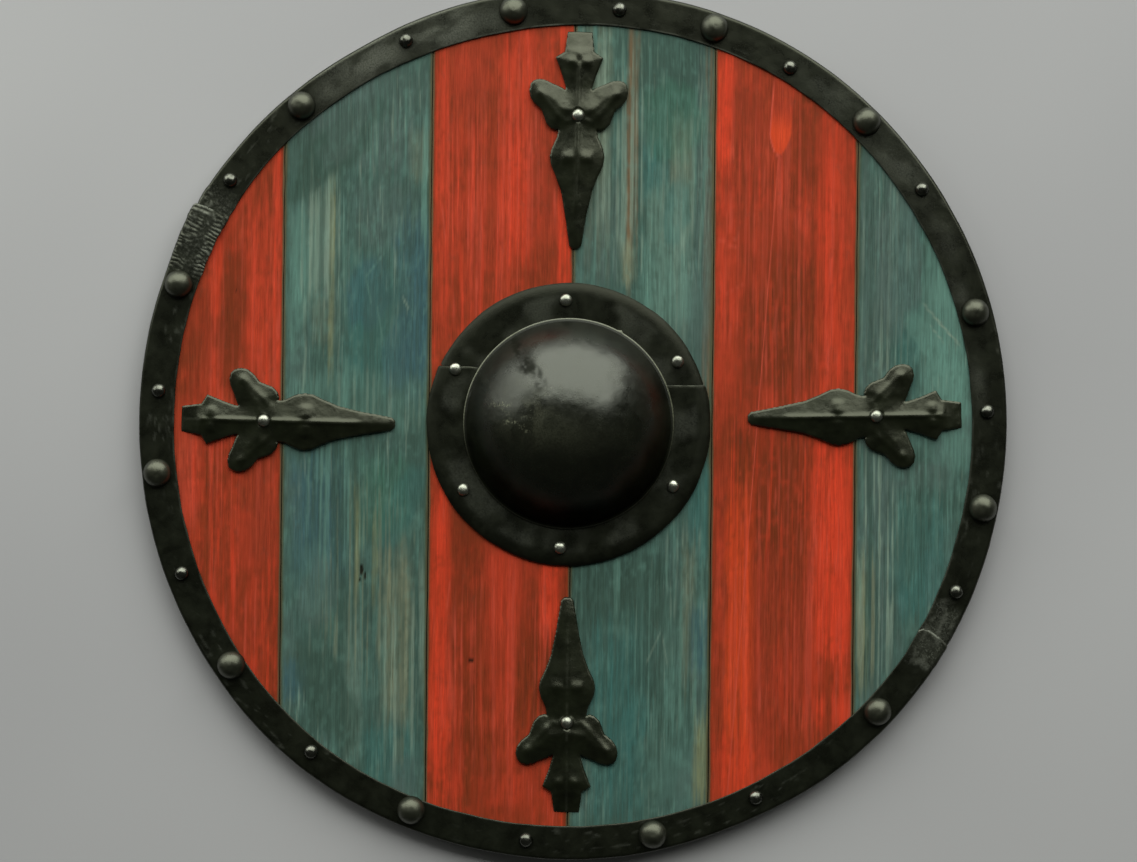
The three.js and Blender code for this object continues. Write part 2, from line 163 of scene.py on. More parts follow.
def lattice(ix, iy, seed):
    """A fixed random number from 0 to 1 for each whole-number point."""
    n = (ix.astype(np.int64) * 374761393 + iy.astype(np.int64) * 668265263 + seed * 974634777) & 0xFFFFFFFF
    n = ((n ^ (n >> 13)) * 1274126177) & 0xFFFFFFFF
    n = ((n ^ (n >> 16)) * 2246822519) & 0xFFFFFFFF
    return ((n ^ (n >> 15)) & 0xFFFFFF) / float(0xFFFFFF)


def noise(x, y, seed):
    """Smooth noise from 0 to 1, one bump for each unit of x and y."""
    x, y = np.broadcast_arrays(np.asarray(x, float), np.asarray(y, float))
    ix, iy = np.floor(x), np.floor(y)
    fx, fy = x - ix, y - iy
    fx, fy = fx * fx * (3 - 2 * fx), fy * fy * (3 - 2 * fy)
    low = lattice(ix, iy, seed) * (1 - fx) + lattice(ix + 1, iy, seed) * fx
    high = lattice(ix, iy + 1, seed) * (1 - fx) + lattice(ix + 1, iy + 1, seed) * fx
    return low * (1 - fy) + high * fy


def fbm(x, y, seed, octaves=3):
    """Noise about 0, from about -1 to 1, with finer noise on top."""
    x, y = np.asarray(x), np.asarray(y)
    total, weight = 0.0, 0.0
    for octave in range(octaves):
        share, finer = 0.5**octave, 2**octave
        total = total + share * (2 * noise(x * finer, y * finer, seed + octave) - 1)
        weight += share
    return total / weight


def ramp(value, start, end):
    """0 at start and 1 at end, smooth between, either way round."""
    t = np.clip((value - start) / (end - start), 0, 1)
    return t * t * (3 - 2 * t)


def bell(x, y, middle_x, middle_y, wide, tall):
    """1 at the middle, falling away like a bell curve."""
    return np.exp(-(((x - middle_x) / wide) ** 2 + ((y - middle_y) / tall) ** 2))


def along_and_across(x, y, middle_x, middle_y, angle):
    """Places measured from a middle, along a line at this angle and square to it."""
    turn = math.radians(angle)
    x, y = x - middle_x, y - middle_y
    return x * math.cos(turn) + y * math.sin(turn), -x * math.sin(turn) + y * math.cos(turn)


def off_line(x, y, start, end):
    """Distance from the straight line between two points."""
    run_x, run_y = end[0] - start[0], end[1] - start[1]
    share = np.clip(((x - start[0]) * run_x + (y - start[1]) * run_y) / (run_x**2 + run_y**2), 0, 1)
    return np.hypot(x - start[0] - share * run_x, y - start[1] - share * run_y)


# ---- Meshes --------------------------------------------------------------------------------------------


def grid_faces(rows, columns, wrap=False):
    """Quads of a grid whose points are stored row by row; wrap joins the last column to the first."""
    row = np.arange(rows - 1)[:, None]
    column = np.arange(columns if wrap else columns - 1)[None, :]
    beside = (column + 1) % columns
    a = row * columns + column
    b = row * columns + beside
    return np.stack([a, b, b + columns, a + columns], -1).reshape(-1, 4)


def finish_mesh(name, points, faces, materials, face_material=None, sharp=38, colours=None, weld=0.0):
    """An object from points in millimetres, with outward faces, that rides on the shield."""
    mesh = bpy.data.meshes.new(name)
    mesh.from_pydata((np.asarray(points, float) * MM).tolist(), [], [list(map(int, face)) for face in faces])
    for key, values in (colours or {}).items():
        values = np.asarray(values, float)
        kind = "FLOAT_COLOR" if values.ndim == 2 else "FLOAT"
        layer = mesh.attributes.new(key, kind, "POINT")
        if values.ndim == 2:
            opaque = np.hstack([values, np.ones((len(values), 1))])
            layer.data.foreach_set("color", opaque.astype(np.float32).ravel())
        else:
            layer.data.foreach_set("value", values.astype(np.float32))
    for material in materials:
        mesh.materials.append(material)
    if face_material is not None:
        mesh.polygons.foreach_set("material_index", np.asarray(face_material, np.int32))
    work = bmesh.new()
    work.from_mesh(mesh)
    if weld:
        bmesh.ops.remove_doubles(work, verts=work.verts, dist=weld * MM)
    bmesh.ops.recalc_face_normals(work, faces=work.faces)
    work.to_mesh(mesh)
    work.free()
    mesh.shade_smooth()
    mesh.set_sharp_from_angle(angle=math.radians(sharp))
    piece = bpy.data.objects.new(name, mesh)
    bpy.context.scene.collection.objects.link(piece)
    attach(piece, "root")
    return piece


def plate(name, inside, top, bottom, xs, ys, materials, sharp=38, tones=None, place=None):
    """A sheet or forging cut to the outline where inside(x, y) passes 0, between two height functions.
    Tones are functions of x and y that the materials read, and place moves the finished points from the
    plate's own plane to the row's frame."""
    x, y = np.meshgrid(xs, ys, indexing="ij")
    field = inside(x, y)
    points, known, edges = [], {}, {}

    def corner(i, j):
        key = (i, j)
        if key not in known:
            known[key] = len(points)
            points.append((x[i, j], y[i, j]))
        return known[key]

    def crossing(a, b):
        key = (a, b) if a < b else (b, a)
        if key not in edges:
            (i0, j0), (i1, j1) = key
            f0, f1 = field[i0, j0], field[i1, j1]
            share = min(max(f0 / (f0 - f1), 0.04), 0.96)
            edges[key] = len(points)
            x0, y0 = x[i0, j0], y[i0, j0]
            points.append((x0 + share * (x[i1, j1] - x0), y0 + share * (y[i1, j1] - y0)))
        return edges[key]

    cells, rims = [], []
    solid = field > 0
    some = solid[:-1, :-1] | solid[1:, :-1] | solid[1:, 1:] | solid[:-1, 1:]
    for i, j in np.argwhere(some):
        around = [(i, j), (i + 1, j), (i + 1, j + 1), (i, j + 1)]
        cell, cuts = [], []
        for here, ahead in zip(around, around[1:] + around[:1]):
            if solid[here]:
                cell.append(corner(*here))
            if solid[here] != solid[ahead]:
                cell.append(crossing(here, ahead))
                cuts.append((len(cell) - 1, solid[here]))
        cells.append(cell)
        for position, leaving in cuts:
            if leaving:
                rims.append((cell[position], cell[(position + 1) % len(cell)]))
    flat = np.array(points)
    size = len(flat)
    high = np.column_stack([flat, top(flat[:, 0], flat[:, 1])])
    low = np.column_stack([flat, bottom(flat[:, 0], flat[:, 1])])
    faces = cells + [[size + p for p in reversed(cell)] for cell in cells]
    faces += [[b, a, size + a, size + b] for a, b in rims]
    body = np.vstack([high, low])
    colours = {}
    for key, tone in (tones or {}).items():
        colours[key] = np.concatenate([tone(flat[:, 0], flat[:, 1]), np.zeros(size)])
    if place is not None:
        body = place(body)
    return finish_mesh(name, body, faces, materials, sharp=sharp, colours=colours)


# ---- Materials -----------------------------------------------------------------------------------------

LIGHT_ON_FACE = 0.9  # how much of a matt surface's colour the lights bring back from the shield's face
SHEEN = 0.008  # what the paint's own gloss adds to it


def linear(red, green, blue):
    """A colour as seen, 0 to 255, as linear light."""
    seen = np.array([red, green, blue]) / 255
    return np.where(seen <= 0.04045, seen / 12.92, ((seen + 0.055) / 1.055) ** 2.4)


def pigment(red, green, blue):
    """The surface colour that looks like this under the scene's lights, with their sheen taken off."""
    return np.clip((linear(red, green, blue) - SHEEN) / (LIGHT_ON_FACE * np.array(LIGHT_TINT)), 0.001, 0.92)


def scaled(colour, factor):
    return [factor * value for value in colour]


class Finish:
    """A material built from a few kinds of node."""

    def __init__(self, name, **sockets):
        self.material = bpy.data.materials.new(name)
        self.material.use_nodes = True
        self.tree = self.material.node_tree
        self.shader = self.tree.nodes["Principled BSDF"]
        self.place = self.add("TexCoord").outputs["Object"]
        for key, value in sockets.items():
            self.set(key.replace("_", " "), value)

    def give(self, socket, value):
        """Links the socket to another one, or sets it to a value or a colour."""
        if isinstance(value, bpy.types.NodeSocket):
            self.tree.links.new(value, socket)
        elif socket.type == "RGBA":
            socket.default_value = (*value, 1)
        else:
            socket.default_value = value

    def add(self, kind, values=None, **settings):
        """A new node with its settings, and with its sockets given by name or by number."""
        node = self.tree.nodes.new(f"ShaderNode{kind}")
        for key, value in settings.items():
            setattr(node, key, value)
        for key, value in (values or {}).items():
            self.give(node.inputs[key], value)
        return node

    def set(self, key, value):
        self.give(self.shader.inputs[key], value)

    def noise(self, size, detail=2.0, roughness=0.5, distortion=0.0):
        """Noise whose bumps are size millimetres long along X, Y and Z."""
        scale = [1 / (length * MM) for length in size]
        mapping = self.add("Mapping", {"Vector": self.place, "Scale": scale})
        node = self.add("TexNoise", {"Vector": mapping.outputs[0], "Scale": 1.0, "Detail": detail,
                                     "Roughness": roughness, "Distortion": distortion})
        return node.outputs["Fac"]

    def spread(self, value, low, high, to_low=0.0, to_high=1.0):
        node = self.add("MapRange", {"Value": value, "From Min": low, "From Max": high, "To Min": to_low,
                                     "To Max": to_high})
        return node.outputs[0]

    def attribute(self, key, output):
        return self.add("Attribute", attribute_name=key).outputs[output]

    def sum(self, operation, first, second):
        return self.add("Math", {0: first, 1: second}, operation=operation).outputs[0]

    def mix(self, factor, first, second, blend="MIX"):
        node = self.add("Mix", data_type="RGBA", blend_type=blend)
        values = {"Factor_Float": factor, "A_Color": first, "B_Color": second}
        for socket in node.inputs:
            if socket.identifier in values:
                self.give(socket, values[socket.identifier])
        return next(socket for socket in node.outputs if socket.identifier == "Result_Color")

    def bump(self, height, depth, strength=1.0):
        """Adds fine relief, depth millimetres deep."""
        node = self.add("Bump", {"Height": height, "Distance": depth * MM, "Strength": strength})
        self.set("Normal", node.outputs[0])


def floor_material():
    finish = Finish("pale_floor", Roughness=0.85)
    tone = finish.spread(finish.noise((600, 600, 600), 2), 0.35, 0.65)
    finish.set("Base Color", finish.mix(tone, (0.375, 0.37, 0.4), (0.425, 0.42, 0.45)))
    return finish.material


def paint_material(name):
    """Brushed paint: the mesh carries its colours, and nodes add bristle marks finer than the mesh."""
    finish = Finish(name)
    bristle = finish.noise((0.95, 20, 6), 4, 0.7)
    broad = finish.noise((2.6, 34, 12), 3, 0.6)
    grime = finish.noise((7, 16, 7), 5, 0.7)
    patch = finish.noise((26, 34, 30), 3, 0.6)
    colour = finish.attribute("paint", "Color")
    dark = finish.mix(1.0, colour, (0.75, 0.76, 0.75), "MULTIPLY")
    light = finish.mix(1.0, colour, (1.2, 1.26, 1.28), "MULTIPLY")
    brushed = finish.mix(finish.spread(bristle, 0.34, 0.66), dark, light)
    colour = finish.mix(finish.spread(patch, 0.36, 0.58, 0.4, 1.0), colour, brushed)
    colour = finish.mix(finish.spread(grime, 0.58, 0.78, 0, 0.3), colour, (0.05, 0.045, 0.03))
    finish.set("Base Color", colour)
    finish.set("Roughness", finish.spread(broad, 0.3, 0.7, 0.5, 0.7))
    finish.set("Specular IOR Level", 0.13)
    finish.bump(finish.sum("ADD", bristle, broad), 0.12, 0.5)
    return finish.material


def wood_material(name, pale, dark, along):
    """Bare wood with its grain along Y, darker in the late wood."""
    finish = Finish(name, Roughness=0.72)
    ring = finish.noise((7, along, 7), 3, 0.55, 0.6)
    fibre = finish.noise((0.5, 30, 0.5), 2, 0.6)
    stain = finish.noise((60, 120, 60), 3, 0.6)
    colour = finish.mix(finish.spread(ring, 0.38, 0.62), pale, dark)
    colour = finish.mix(finish.spread(fibre, 0.3, 0.7, 0, 0.45), colour, scaled(dark, 0.55))
    colour = finish.mix(finish.spread(stain, 0.45, 0.7, 0, 0.5), colour, scaled(dark, 0.5))
    finish.set("Base Color", colour)
    finish.bump(finish.sum("ADD", fibre, ring), 0.2, 0.5)
    return finish.material


def iron_material(name, base, worn, smooth_end, rough_end, mottle=(14, 14, 14), index=1.62,
                  tint=(0.97, 1.0, 0.8)):
    """Blackened iron, mottled and rubbed. The mesh's wear attribute says where it is scuffed to grey and
    where highlights are painted on in grey, its speck attribute where it is scuffed in specks and where
    glints are painted on, and its dull attribute where grime takes the gloss off."""
    finish = Finish(name, Metallic=0.0, IOR=index, Specular_Tint=tint)
    cloud = finish.noise(mottle, 4, 0.6, 0.3)
    grain = finish.noise((1.1, 1.1, 1.1), 3, 0.6)
    wear_and_highlight = finish.sum("MULTIPLY", finish.attribute("wear_and_highlight", "Fac"), finish.spread(grain, 0.3, 0.6, 0.35, 1.0))
    speck_and_glint = finish.spread(finish.noise((1.5, 1.5, 1.5), 4, 0.7, 0.8), 0.5, 0.62)
    wear_and_highlight = finish.sum("MAXIMUM", wear_and_highlight, finish.sum("MULTIPLY", finish.attribute("speck_and_glint", "Fac"), speck_and_glint))
    colour = finish.mix(finish.spread(cloud, 0.35, 0.65), scaled(base, 0.6), scaled(base, 1.5))
    colour = finish.mix(finish.spread(grain, 0.66, 0.78, 0, 0.35), colour, scaled(base, 4))
    # The pale grey marks rubbed iron, and also painted highlights and glints.
    finish.set("Base Color", finish.mix(wear_and_highlight, colour, worn))
    uneven = finish.sum("ADD", cloud, finish.sum("MULTIPLY", grain, 0.35))
    rough = finish.spread(uneven, 0.45, 0.9, smooth_end, rough_end)
    dull = finish.attribute("dull", "Fac")
    rough = finish.sum("ADD", rough, finish.sum("MULTIPLY", dull, 0.3))
    finish.set("Roughness", finish.sum("ADD", rough, finish.sum("MULTIPLY", wear_and_highlight, 0.18)))
    finish.set("Specular IOR Level", finish.spread(dull, 0, 1, 0.5, 0.0))
    finish.bump(finish.sum("ADD", grain, cloud), 0.12, 0.5)
    return finish.material


def steel_material(name, dark, light, smooth_end, rough_end):
    """Worn rivet heads with grime in their pits."""
    finish = Finish(name, Metallic=1.0)
    pit = finish.noise((1.4, 1.4, 1.4), 3, 0.6)
    cloud = finish.noise((5, 5, 5), 2, 0.5)
    colour = finish.mix(finish.spread(cloud, 0.35, 0.65), dark, light)
    finish.set("Base Color", finish.mix(finish.spread(pit, 0.56, 0.7, 0, 0.8), colour, (0.04, 0.04, 0.032)))
    finish.set("Roughness", finish.spread(pit, 0.3, 0.7, smooth_end, rough_end))
    finish.bump(pit, 0.15, 0.6)
    return finish.material


BARE_WOOD = wood_material("bare_board", (0.3, 0.19, 0.1), (0.15, 0.085, 0.045), 260)
GRIP_WOOD = wood_material("grip_wood", (0.2, 0.115, 0.055), (0.1, 0.055, 0.027), 140)
GROOVE = wood_material("groove", (0.035, 0.027, 0.016), (0.018, 0.014, 0.009), 60)
PAINT = paint_material("brushed_paint")
RIM_IRON = iron_material("rim_iron", (0.0044, 0.0052, 0.0032), (0.21, 0.22, 0.19), 0.24, 0.36, index=1.45)
BOSS_IRON = iron_material("boss_iron", (0.0028, 0.0034, 0.0016), (0.17, 0.175, 0.12), 0.19, 0.30,
                          tint=(0.97, 1.0, 0.92))
STRAP_IRON = iron_material("strap_iron", (0.0036, 0.0048, 0.0018), (0.11, 0.115, 0.09), 0.26, 0.36,
                           index=1.57)
STUD_IRON = iron_material("stud_iron", (0.0075, 0.0082, 0.0055), (0.09, 0.09, 0.08), 0.34, 0.43,
                          (6, 6, 6), index=1.75)
RIVET_STEEL = steel_material("rivet_steel", (0.26, 0.27, 0.23), (0.42, 0.43, 0.38), 0.26, 0.44)
DARK_STEEL = steel_material("dark_steel", (0.07, 0.072, 0.06), (0.16, 0.165, 0.145), 0.2, 0.34)

# ---- Planks --------------------------------------------------------------------------------------------

# Colours as they look, 0 to 255, matched to the paint in the photograph.
PIGMENTS = {
    "red": (150, 58, 38), "scarlet": (200, 65, 42), "ember": (182, 64, 43), "coral": (188, 78, 60),
    "flame": (212, 74, 40), "brick": (140, 56, 38), "umber": (106, 50, 31), "teal": (68, 92, 83),
    "slate": (78, 93, 86), "pine": (58, 77, 67), "mint": (92, 126, 112), "sea": (60, 101, 94),
    "denim": (60, 88, 92), "moss": (66, 104, 86), "chalk": (122, 140, 122), "straw": (124, 126, 88),
    "sand": (112, 117, 94), "rust": (116, 88, 60), "olive": (70, 70, 42), "soot": (30, 28, 20),
}
PIGMENTS = {name: pigment(*seen) for name, seen in PIGMENTS.items()}
SEAM_PIGMENT = pigment(84, 80, 58)
# Which of them each colour of plank has for its ground coat and for what lies on it.
RED_PAINT = {"ground": "red", "dark": "umber", "worn": "ember", "light": "ember", "bright": "scarlet",
             "furrow": "brick", "bristle": "coral", "edge": "umber"}
TEAL_PAINT = {"ground": "teal", "dark": "pine", "worn": "slate", "light": "mint", "bright": "mint",
              "furrow": "pine", "bristle": "chalk", "edge": "olive"}

# What the brush left on each plank: middle X and Y, half width, half height, pigment and strength. The
# places were noted by eye on the photograph, and a scratch script turned them into millimetres.
STROKES = {
    1: [
        (-208, 104, 3, 82, "ember", 0.75), (-218, 149, 5, 29, "umber", 0.6),
        (-252, 96, 4, 24, "scarlet", 0.55), (-241, 88, 8, 38, "umber", 0.65),
        (-221, 71, 8, 41, "ember", 0.6), (-270, -40, 8, 33, "coral", 0.3),
        (-265, 70, 12, 49, "umber", 0.45), (-221, 104, 8, 51, "ember", 0.55),
        (-252, -65, 8, 47, "umber", 0.6), (-215, -70, 10, 48, "brick", 0.6),
        (-228, -142, 12, 24, "brick", 0.5), (-233, -143, 27, 45, "umber", 0.2),
        (-234, -118, 9, 21, "umber", 0.4),
    ],
    2: [
        (-152, 215, 50, 38, "slate", 0.75), (-134, 240, 24, 28, "pine", 0.3),
        (-180, 179, 22, 27, "pine", 0.7), (-189, 110, 12, 39, "mint", 0.55),
        (-176, 127, 9, 41, "chalk", 0.5), (-175, 70, 8, 16, "sand", 0.3), (-161, 107, 5, 63, "teal", 0.5),
        (-109, 187, 7, 17, "sand", 0.35), (-170, 101, 2, 58, "straw", 0.55),
        (-133, 146, 23, 25, "slate", 0.5), (-113, 81, 12, 59, "denim", 0.75),
        (-142, 67, 19, 45, "sea", 0.6), (-105, 170, 2, 49, "mint", 0.6), (-153, 15, 46, 20, "mint", 0.4),
        (-177, -69, 18, 48, "denim", 0.65), (-131, -53, 16, 29, "moss", 0.5),
        (-150, -84, 2, 40, "straw", 0.75), (-138, -96, 2, 28, "straw", 0.45),
        (-122, -150, 10, 58, "sand", 0.85), (-105, -141, 2, 45, "chalk", 0.5),
        (-192, -182, 8, 14, "denim", 0.75), (-152, -182, 6, 58, "chalk", 0.35),
        (-125, -232, 21, 21, "sea", 0.5), (-119, -229, 3, 10, "sand", 0.4),
        (-115, -249, 12, 15, "slate", 0.5), (-179, -110, 11, 24, "mint", 0.3),
    ],
    3: [
        (-94, 174, 5, 87, "ember", 0.7), (-72, 244, 17, 24, "brick", 0.5), (-69, 170, 16, 42, "ember", 0.4),
        (-42, 160, 11, 45, "scarlet", 0.6), (-42, 240, 11, 34, "ember", 0.45),
        (-22, 190, 11, 51, "brick", 0.8), (-7, 178, 4, 77, "scarlet", 0.7),
        (-63, 122, 10, 35, "brick", 0.5), (-92, -146, 7, 114, "scarlet", 0.85),
        (-73, -77, 13, 25, "umber", 0.5), (-74, -137, 12, 34, "umber", 0.3),
        (-50, -144, 10, 63, "ember", 0.65), (-24, -189, 15, 40, "umber", 0.85),
        (-15, -120, 7, 31, "scarlet", 0.7), (-68, -215, 5, 45, "umber", 0.6),
        (-24, -246, 10, 17, "brick", 0.5),
    ],
    4: [
        (40, 199, 4, 80, "rust", 0.6), (16, 199, 9, 77, "sand", 0.55), (17, 241, 4, 28, "chalk", 0.5),
        (93, 137, 3, 119, "rust", 0.55), (69, 249, 25, 30, "pine", 0.5), (74, 174, 8, 38, "sand", 0.5),
        (55, 180, 10, 20, "sea", 0.6), (65, 146, 15, 20, "mint", 0.55), (37, 114, 5, 16, "sand", 0.75),
        (67, 119, 13, 52, "chalk", 0.3), (64, 100, 18, 27, "mint", 0.5), (89, 133, 7, 109, "slate", 0.65),
        (18, 136, 14, 35, "slate", 0.5), (89, -57, 7, 37, "sea", 0.6), (36, -119, 34, 24, "pine", 0.75),
        (82, -130, 5, 51, "sand", 0.5), (90, -148, 7, 22, "denim", 0.75), (69, -163, 7, 36, "mint", 0.4),
        (33, -212, 20, 65, "sea", 0.5), (92, -232, 6, 30, "straw", 0.55), (68, -227, 16, 35, "mint", 0.25),
    ],
    5: [
        (104, 221, 6, 42, "scarlet", 0.85), (107, 66, 8, 72, "ember", 0.25),
        (142, 228, 9, 34, "ember", 0.2), (120, 216, 11, 36, "brick", 0.6), (124, 139, 8, 23, "ember", 0.3),
        (160, 200, 8, 38, "umber", 0.6), (178, 116, 9, 92, "scarlet", 0.55), (192, 92, 6, 67, "ember", 0.4),
        (152, 73, 18, 51, "umber", 0.85), (127, 59, 9, 37, "umber", 0.5), (138, -48, 30, 45, "umber", 0.85),
        (182, -100, 15, 99, "scarlet", 0.9), (118, -149, 9, 109, "flame", 0.7),
        (148, -154, 20, 65, "brick", 0.75), (184, -175, 13, 14, "umber", 0.6),
        (115, -239, 12, 23, "scarlet", 0.6), (150, -215, 10, 24, "umber", 0.4),
        (120, 151, 9, 28, "umber", 0.35),
    ],
    6: [
        (211, 96, 12, 98, "slate", 0.6), (232, 98, 10, 75, "sea", 0.4), (260, 62, 18, 63, "mint", 0.75),
        (212, -96, 13, 87, "slate", 0.6), (243, -34, 19, 10, "slate", 0.6),
        (204, -138, 4, 45, "straw", 0.45), (243, -92, 18, 42, "sea", 0.5), (268, -15, 11, 14, "mint", 0.5),
    ],
}
# Chips through the paint: middle X and Y, half width and half height.
CHIPS = [(-147, -103, 1.2, 3.2), (-144.5, -107, 0.8, 2.2), (-148, -110, 0.8, 1.6), (-237, 92, 0.6, 0.8),
         (-70, -166, 1.6, 1.2)]
# Broad smears that don't follow the boards: plank, middle X and Y, half length, half width, angle, pigment
# and strength. The thin scratches further down are given in the same way.
SMEARS = [
    (2, -164, 196, 44, 17, 52, "pine", 0.75), (2, -186, 168, 24, 9, 38, "pine", 0.7),
    (2, -158, 212, 40, 13, 60, "slate", 0.4), (2, -147, 92, 26, 17, 75, "denim", 0.45),
    (2, -170, -190, 44, 17, -60, "pine", 0.75), (2, -132, 60, 60, 20, 86, "pine", 0.35),
    (2, -124, 50, 30, 12, 80, "denim", 0.4), (2, -122, -60, 34, 12, 64, "sea", 0.35),
    (2, -177, -120, 26, 14, 70, "slate", 0.4), (4, 66, 214, 30, 24, 80, "moss", 0.45),
    (4, 70, 150, 26, 10, 84, "sea", 0.5), (4, 60, -150, 40, 16, 70, "pine", 0.4),
    (4, 40, -210, 26, 12, 60, "sea", 0.35), (6, 226, 118, 58, 17, 88, "slate", 0.65),
    (6, 252, 58, 34, 9, -48, "mint", 0.5), (6, 262, 30, 26, 11, -60, "mint", 0.45),
    (6, 240, -70, 40, 12, 78, "pine", 0.4), (1, -240, 60, 40, 9, 80, "umber", 0.4),
    (1, -226, -60, 46, 10, 84, "brick", 0.4), (3, -62, -180, 46, 16, 76, "umber", 0.35),
    (3, -40, 60, 30, 14, 70, "brick", 0.3), (5, 140, 90, 70, 20, 84, "umber", 0.35),
    (5, 150, -100, 60, 16, 80, "umber", 0.35), (5, 118, 170, 34, 12, 86, "brick", 0.35),
]
# Where long fine bristle lines show: plank, middle X and Y, half width, half height, pigment and strength.
COMBED = [
    (2, -176, 122, 20, 58, "chalk", 0.6), (2, -146, -110, 34, 74, "sand", 0.6),
    (2, -118, -180, 18, 70, "chalk", 0.55), (2, -168, -60, 24, 60, "mint", 0.6),
    (2, -148, 210, 30, 34, "mint", 0.35), (2, -140, 14, 36, 26, "chalk", 0.35),
    (4, 30, 190, 22, 80, "chalk", 0.6), (4, 72, 160, 22, 60, "chalk", 0.3),
    (4, 66, -160, 30, 80, "mint", 0.6), (4, 30, -190, 20, 60, "sea", 0.4),
    (6, 213, -105, 18, 95, "chalk", 0.8), (6, 207, -130, 9, 60, "sand", 0.8),
    (6, 216, 110, 20, 90, "chalk", 0.45), (6, 246, -60, 22, 60, "mint", 0.4),
    (6, 250, 100, 20, 60, "mint", 0.4), (1, -235, 20, 34, 130, "coral", 0.35),
    (3, -60, 160, 36, 90, "coral", 0.35), (3, -50, -180, 42, 90, "coral", 0.4),
    (5, 150, 120, 46, 120, "coral", 0.35), (5, 145, -130, 44, 110, "coral", 0.4),
]
# A run of thick paint on one board: where its tip is, its half width, the length of its rounded end and how
# far it leans for each millimetre up.
DRIP_PLANK, DRIP_TIP_X, DRIP_TIP_Y, DRIP_WIDTH, DRIP_END, DRIP_LEAN = 5, 142, 190, 7.6, 14, 0.07
SCRATCHES = [
    (6, 256, 74, 20, 0.5, -48, "chalk", 0.7), (6, 261, 68, 16, 0.4, -46, "chalk", 0.6),
    (6, 254, 66, 9, 0.35, -50, "chalk", 0.5), (2, -140, 110, 12, 0.4, 52, "mint", 0.5),
    (2, -144, 92, 10, 0.4, -78, "mint", 0.45), (2, -118, 84, 5, 0.4, -62, "chalk", 0.6),
    (2, -136, 70, 14, 0.35, -80, "mint", 0.4), (4, 58, -155, 14, 0.4, 66, "chalk", 0.4),
    (4, 66, -158, 12, 0.4, 100, "chalk", 0.4), (3, -92, 140, 14, 0.4, 96, "coral", 0.5),
    (3, -86, -120, 11, 0.4, 85, "coral", 0.45), (5, 105, 130, 9, 0.4, 4, "coral", 0.55),
    (5, 108, 126, 8, 0.4, 0, "coral", 0.5), (5, 112, 96, 8, 0.4, 30, "coral", 0.4),
    (5, 150, 40, 12, 0.4, 84, "umber", 0.5), (1, -246, 30, 8, 0.4, 80, "umber", 0.4),
]


def streak(x, y, width, length, seed):
    """Long brush marks from 0 to 1 that wander a little from straight."""
    drift = 1.5 * fbm(y / 140, x / 60, seed + 7, 2)
    return noise((x + drift) / width, y / length, seed)


def rows_for(index, table):
    """The rows for one plank, without its number but with their own number in the table."""
    return [(number, row[1:]) for number, row in enumerate(table) if row[0] == index]


def stroke(x, y, number, seed, middle_x, middle_y, half_x, half_y, strength):
    """A patch of brush marks with ragged ends and wavering sides."""
    wobble = 1.2 * fbm(y / 40, number, seed + 40 + number, 2)
    ragged = 0.24 * (2 * noise(x / 1.1, number, seed + 60 + number) - 1)
    ragged = ragged + 0.16 * fbm(x / 6, y / 9, seed + 61, 2)
    across = np.abs(x - middle_x + wobble) / half_x
    along = np.abs(y - middle_y) / half_y + ragged
    soft = 0.6 if half_x > 4 else 0.5
    mask = ramp(across + 0.2 * fbm(x / 4, y / 7, seed + 62, 3), 1.2 + 0.3 * soft, 1.15 - soft)
    return strength * mask * ramp(along, 1.3, 0.6)


def smear_edge(x, y, number, seed, middle_x, middle_y, reach, width, angle):
    """About 1 on the outline of a smear, and less inside it."""
    along, across = along_and_across(x, y, middle_x, middle_y, angle)
    across = across + 0.3 * width * fbm(along / 22, number, seed + 80, 2)
    return np.hypot(along / reach, across / width) + 0.22 * fbm(x / 5, y / 12, seed + 81, 3)


def scratch(x, y, seed, middle_x, middle_y, reach, width, angle, strength):
    along, across = along_and_across(x, y, middle_x, middle_y, angle)
    mask = ramp(np.abs(across), width + 0.6, width * 0.5) * ramp(np.abs(along), reach, reach * 0.7)
    return strength * mask * (0.5 + 0.5 * noise(along / 2.5, 1.0, seed + 90))


def lay_drip(lay, x, y):
    """The run of paint: brighter near its tip, with a pale ridge along its left edge."""
    above = y - DRIP_TIP_Y
    aside = x - DRIP_TIP_X - DRIP_LEAN * above
    inside = DRIP_WIDTH * np.sqrt(np.clip(above / DRIP_END, 0, 1)) - np.abs(aside)
    body = ramp(inside, -0.4, 0.9)
    lay("ember", 0.3 * body)
    lay("flame", 0.6 * body * ramp(above, 34, 14))
    ridge = ramp(np.abs(inside - 0.2), 0.9, 0.1) * ramp(above, 60, 40)
    lay("coral", 0.8 * ridge * ramp(aside, 5, -1))


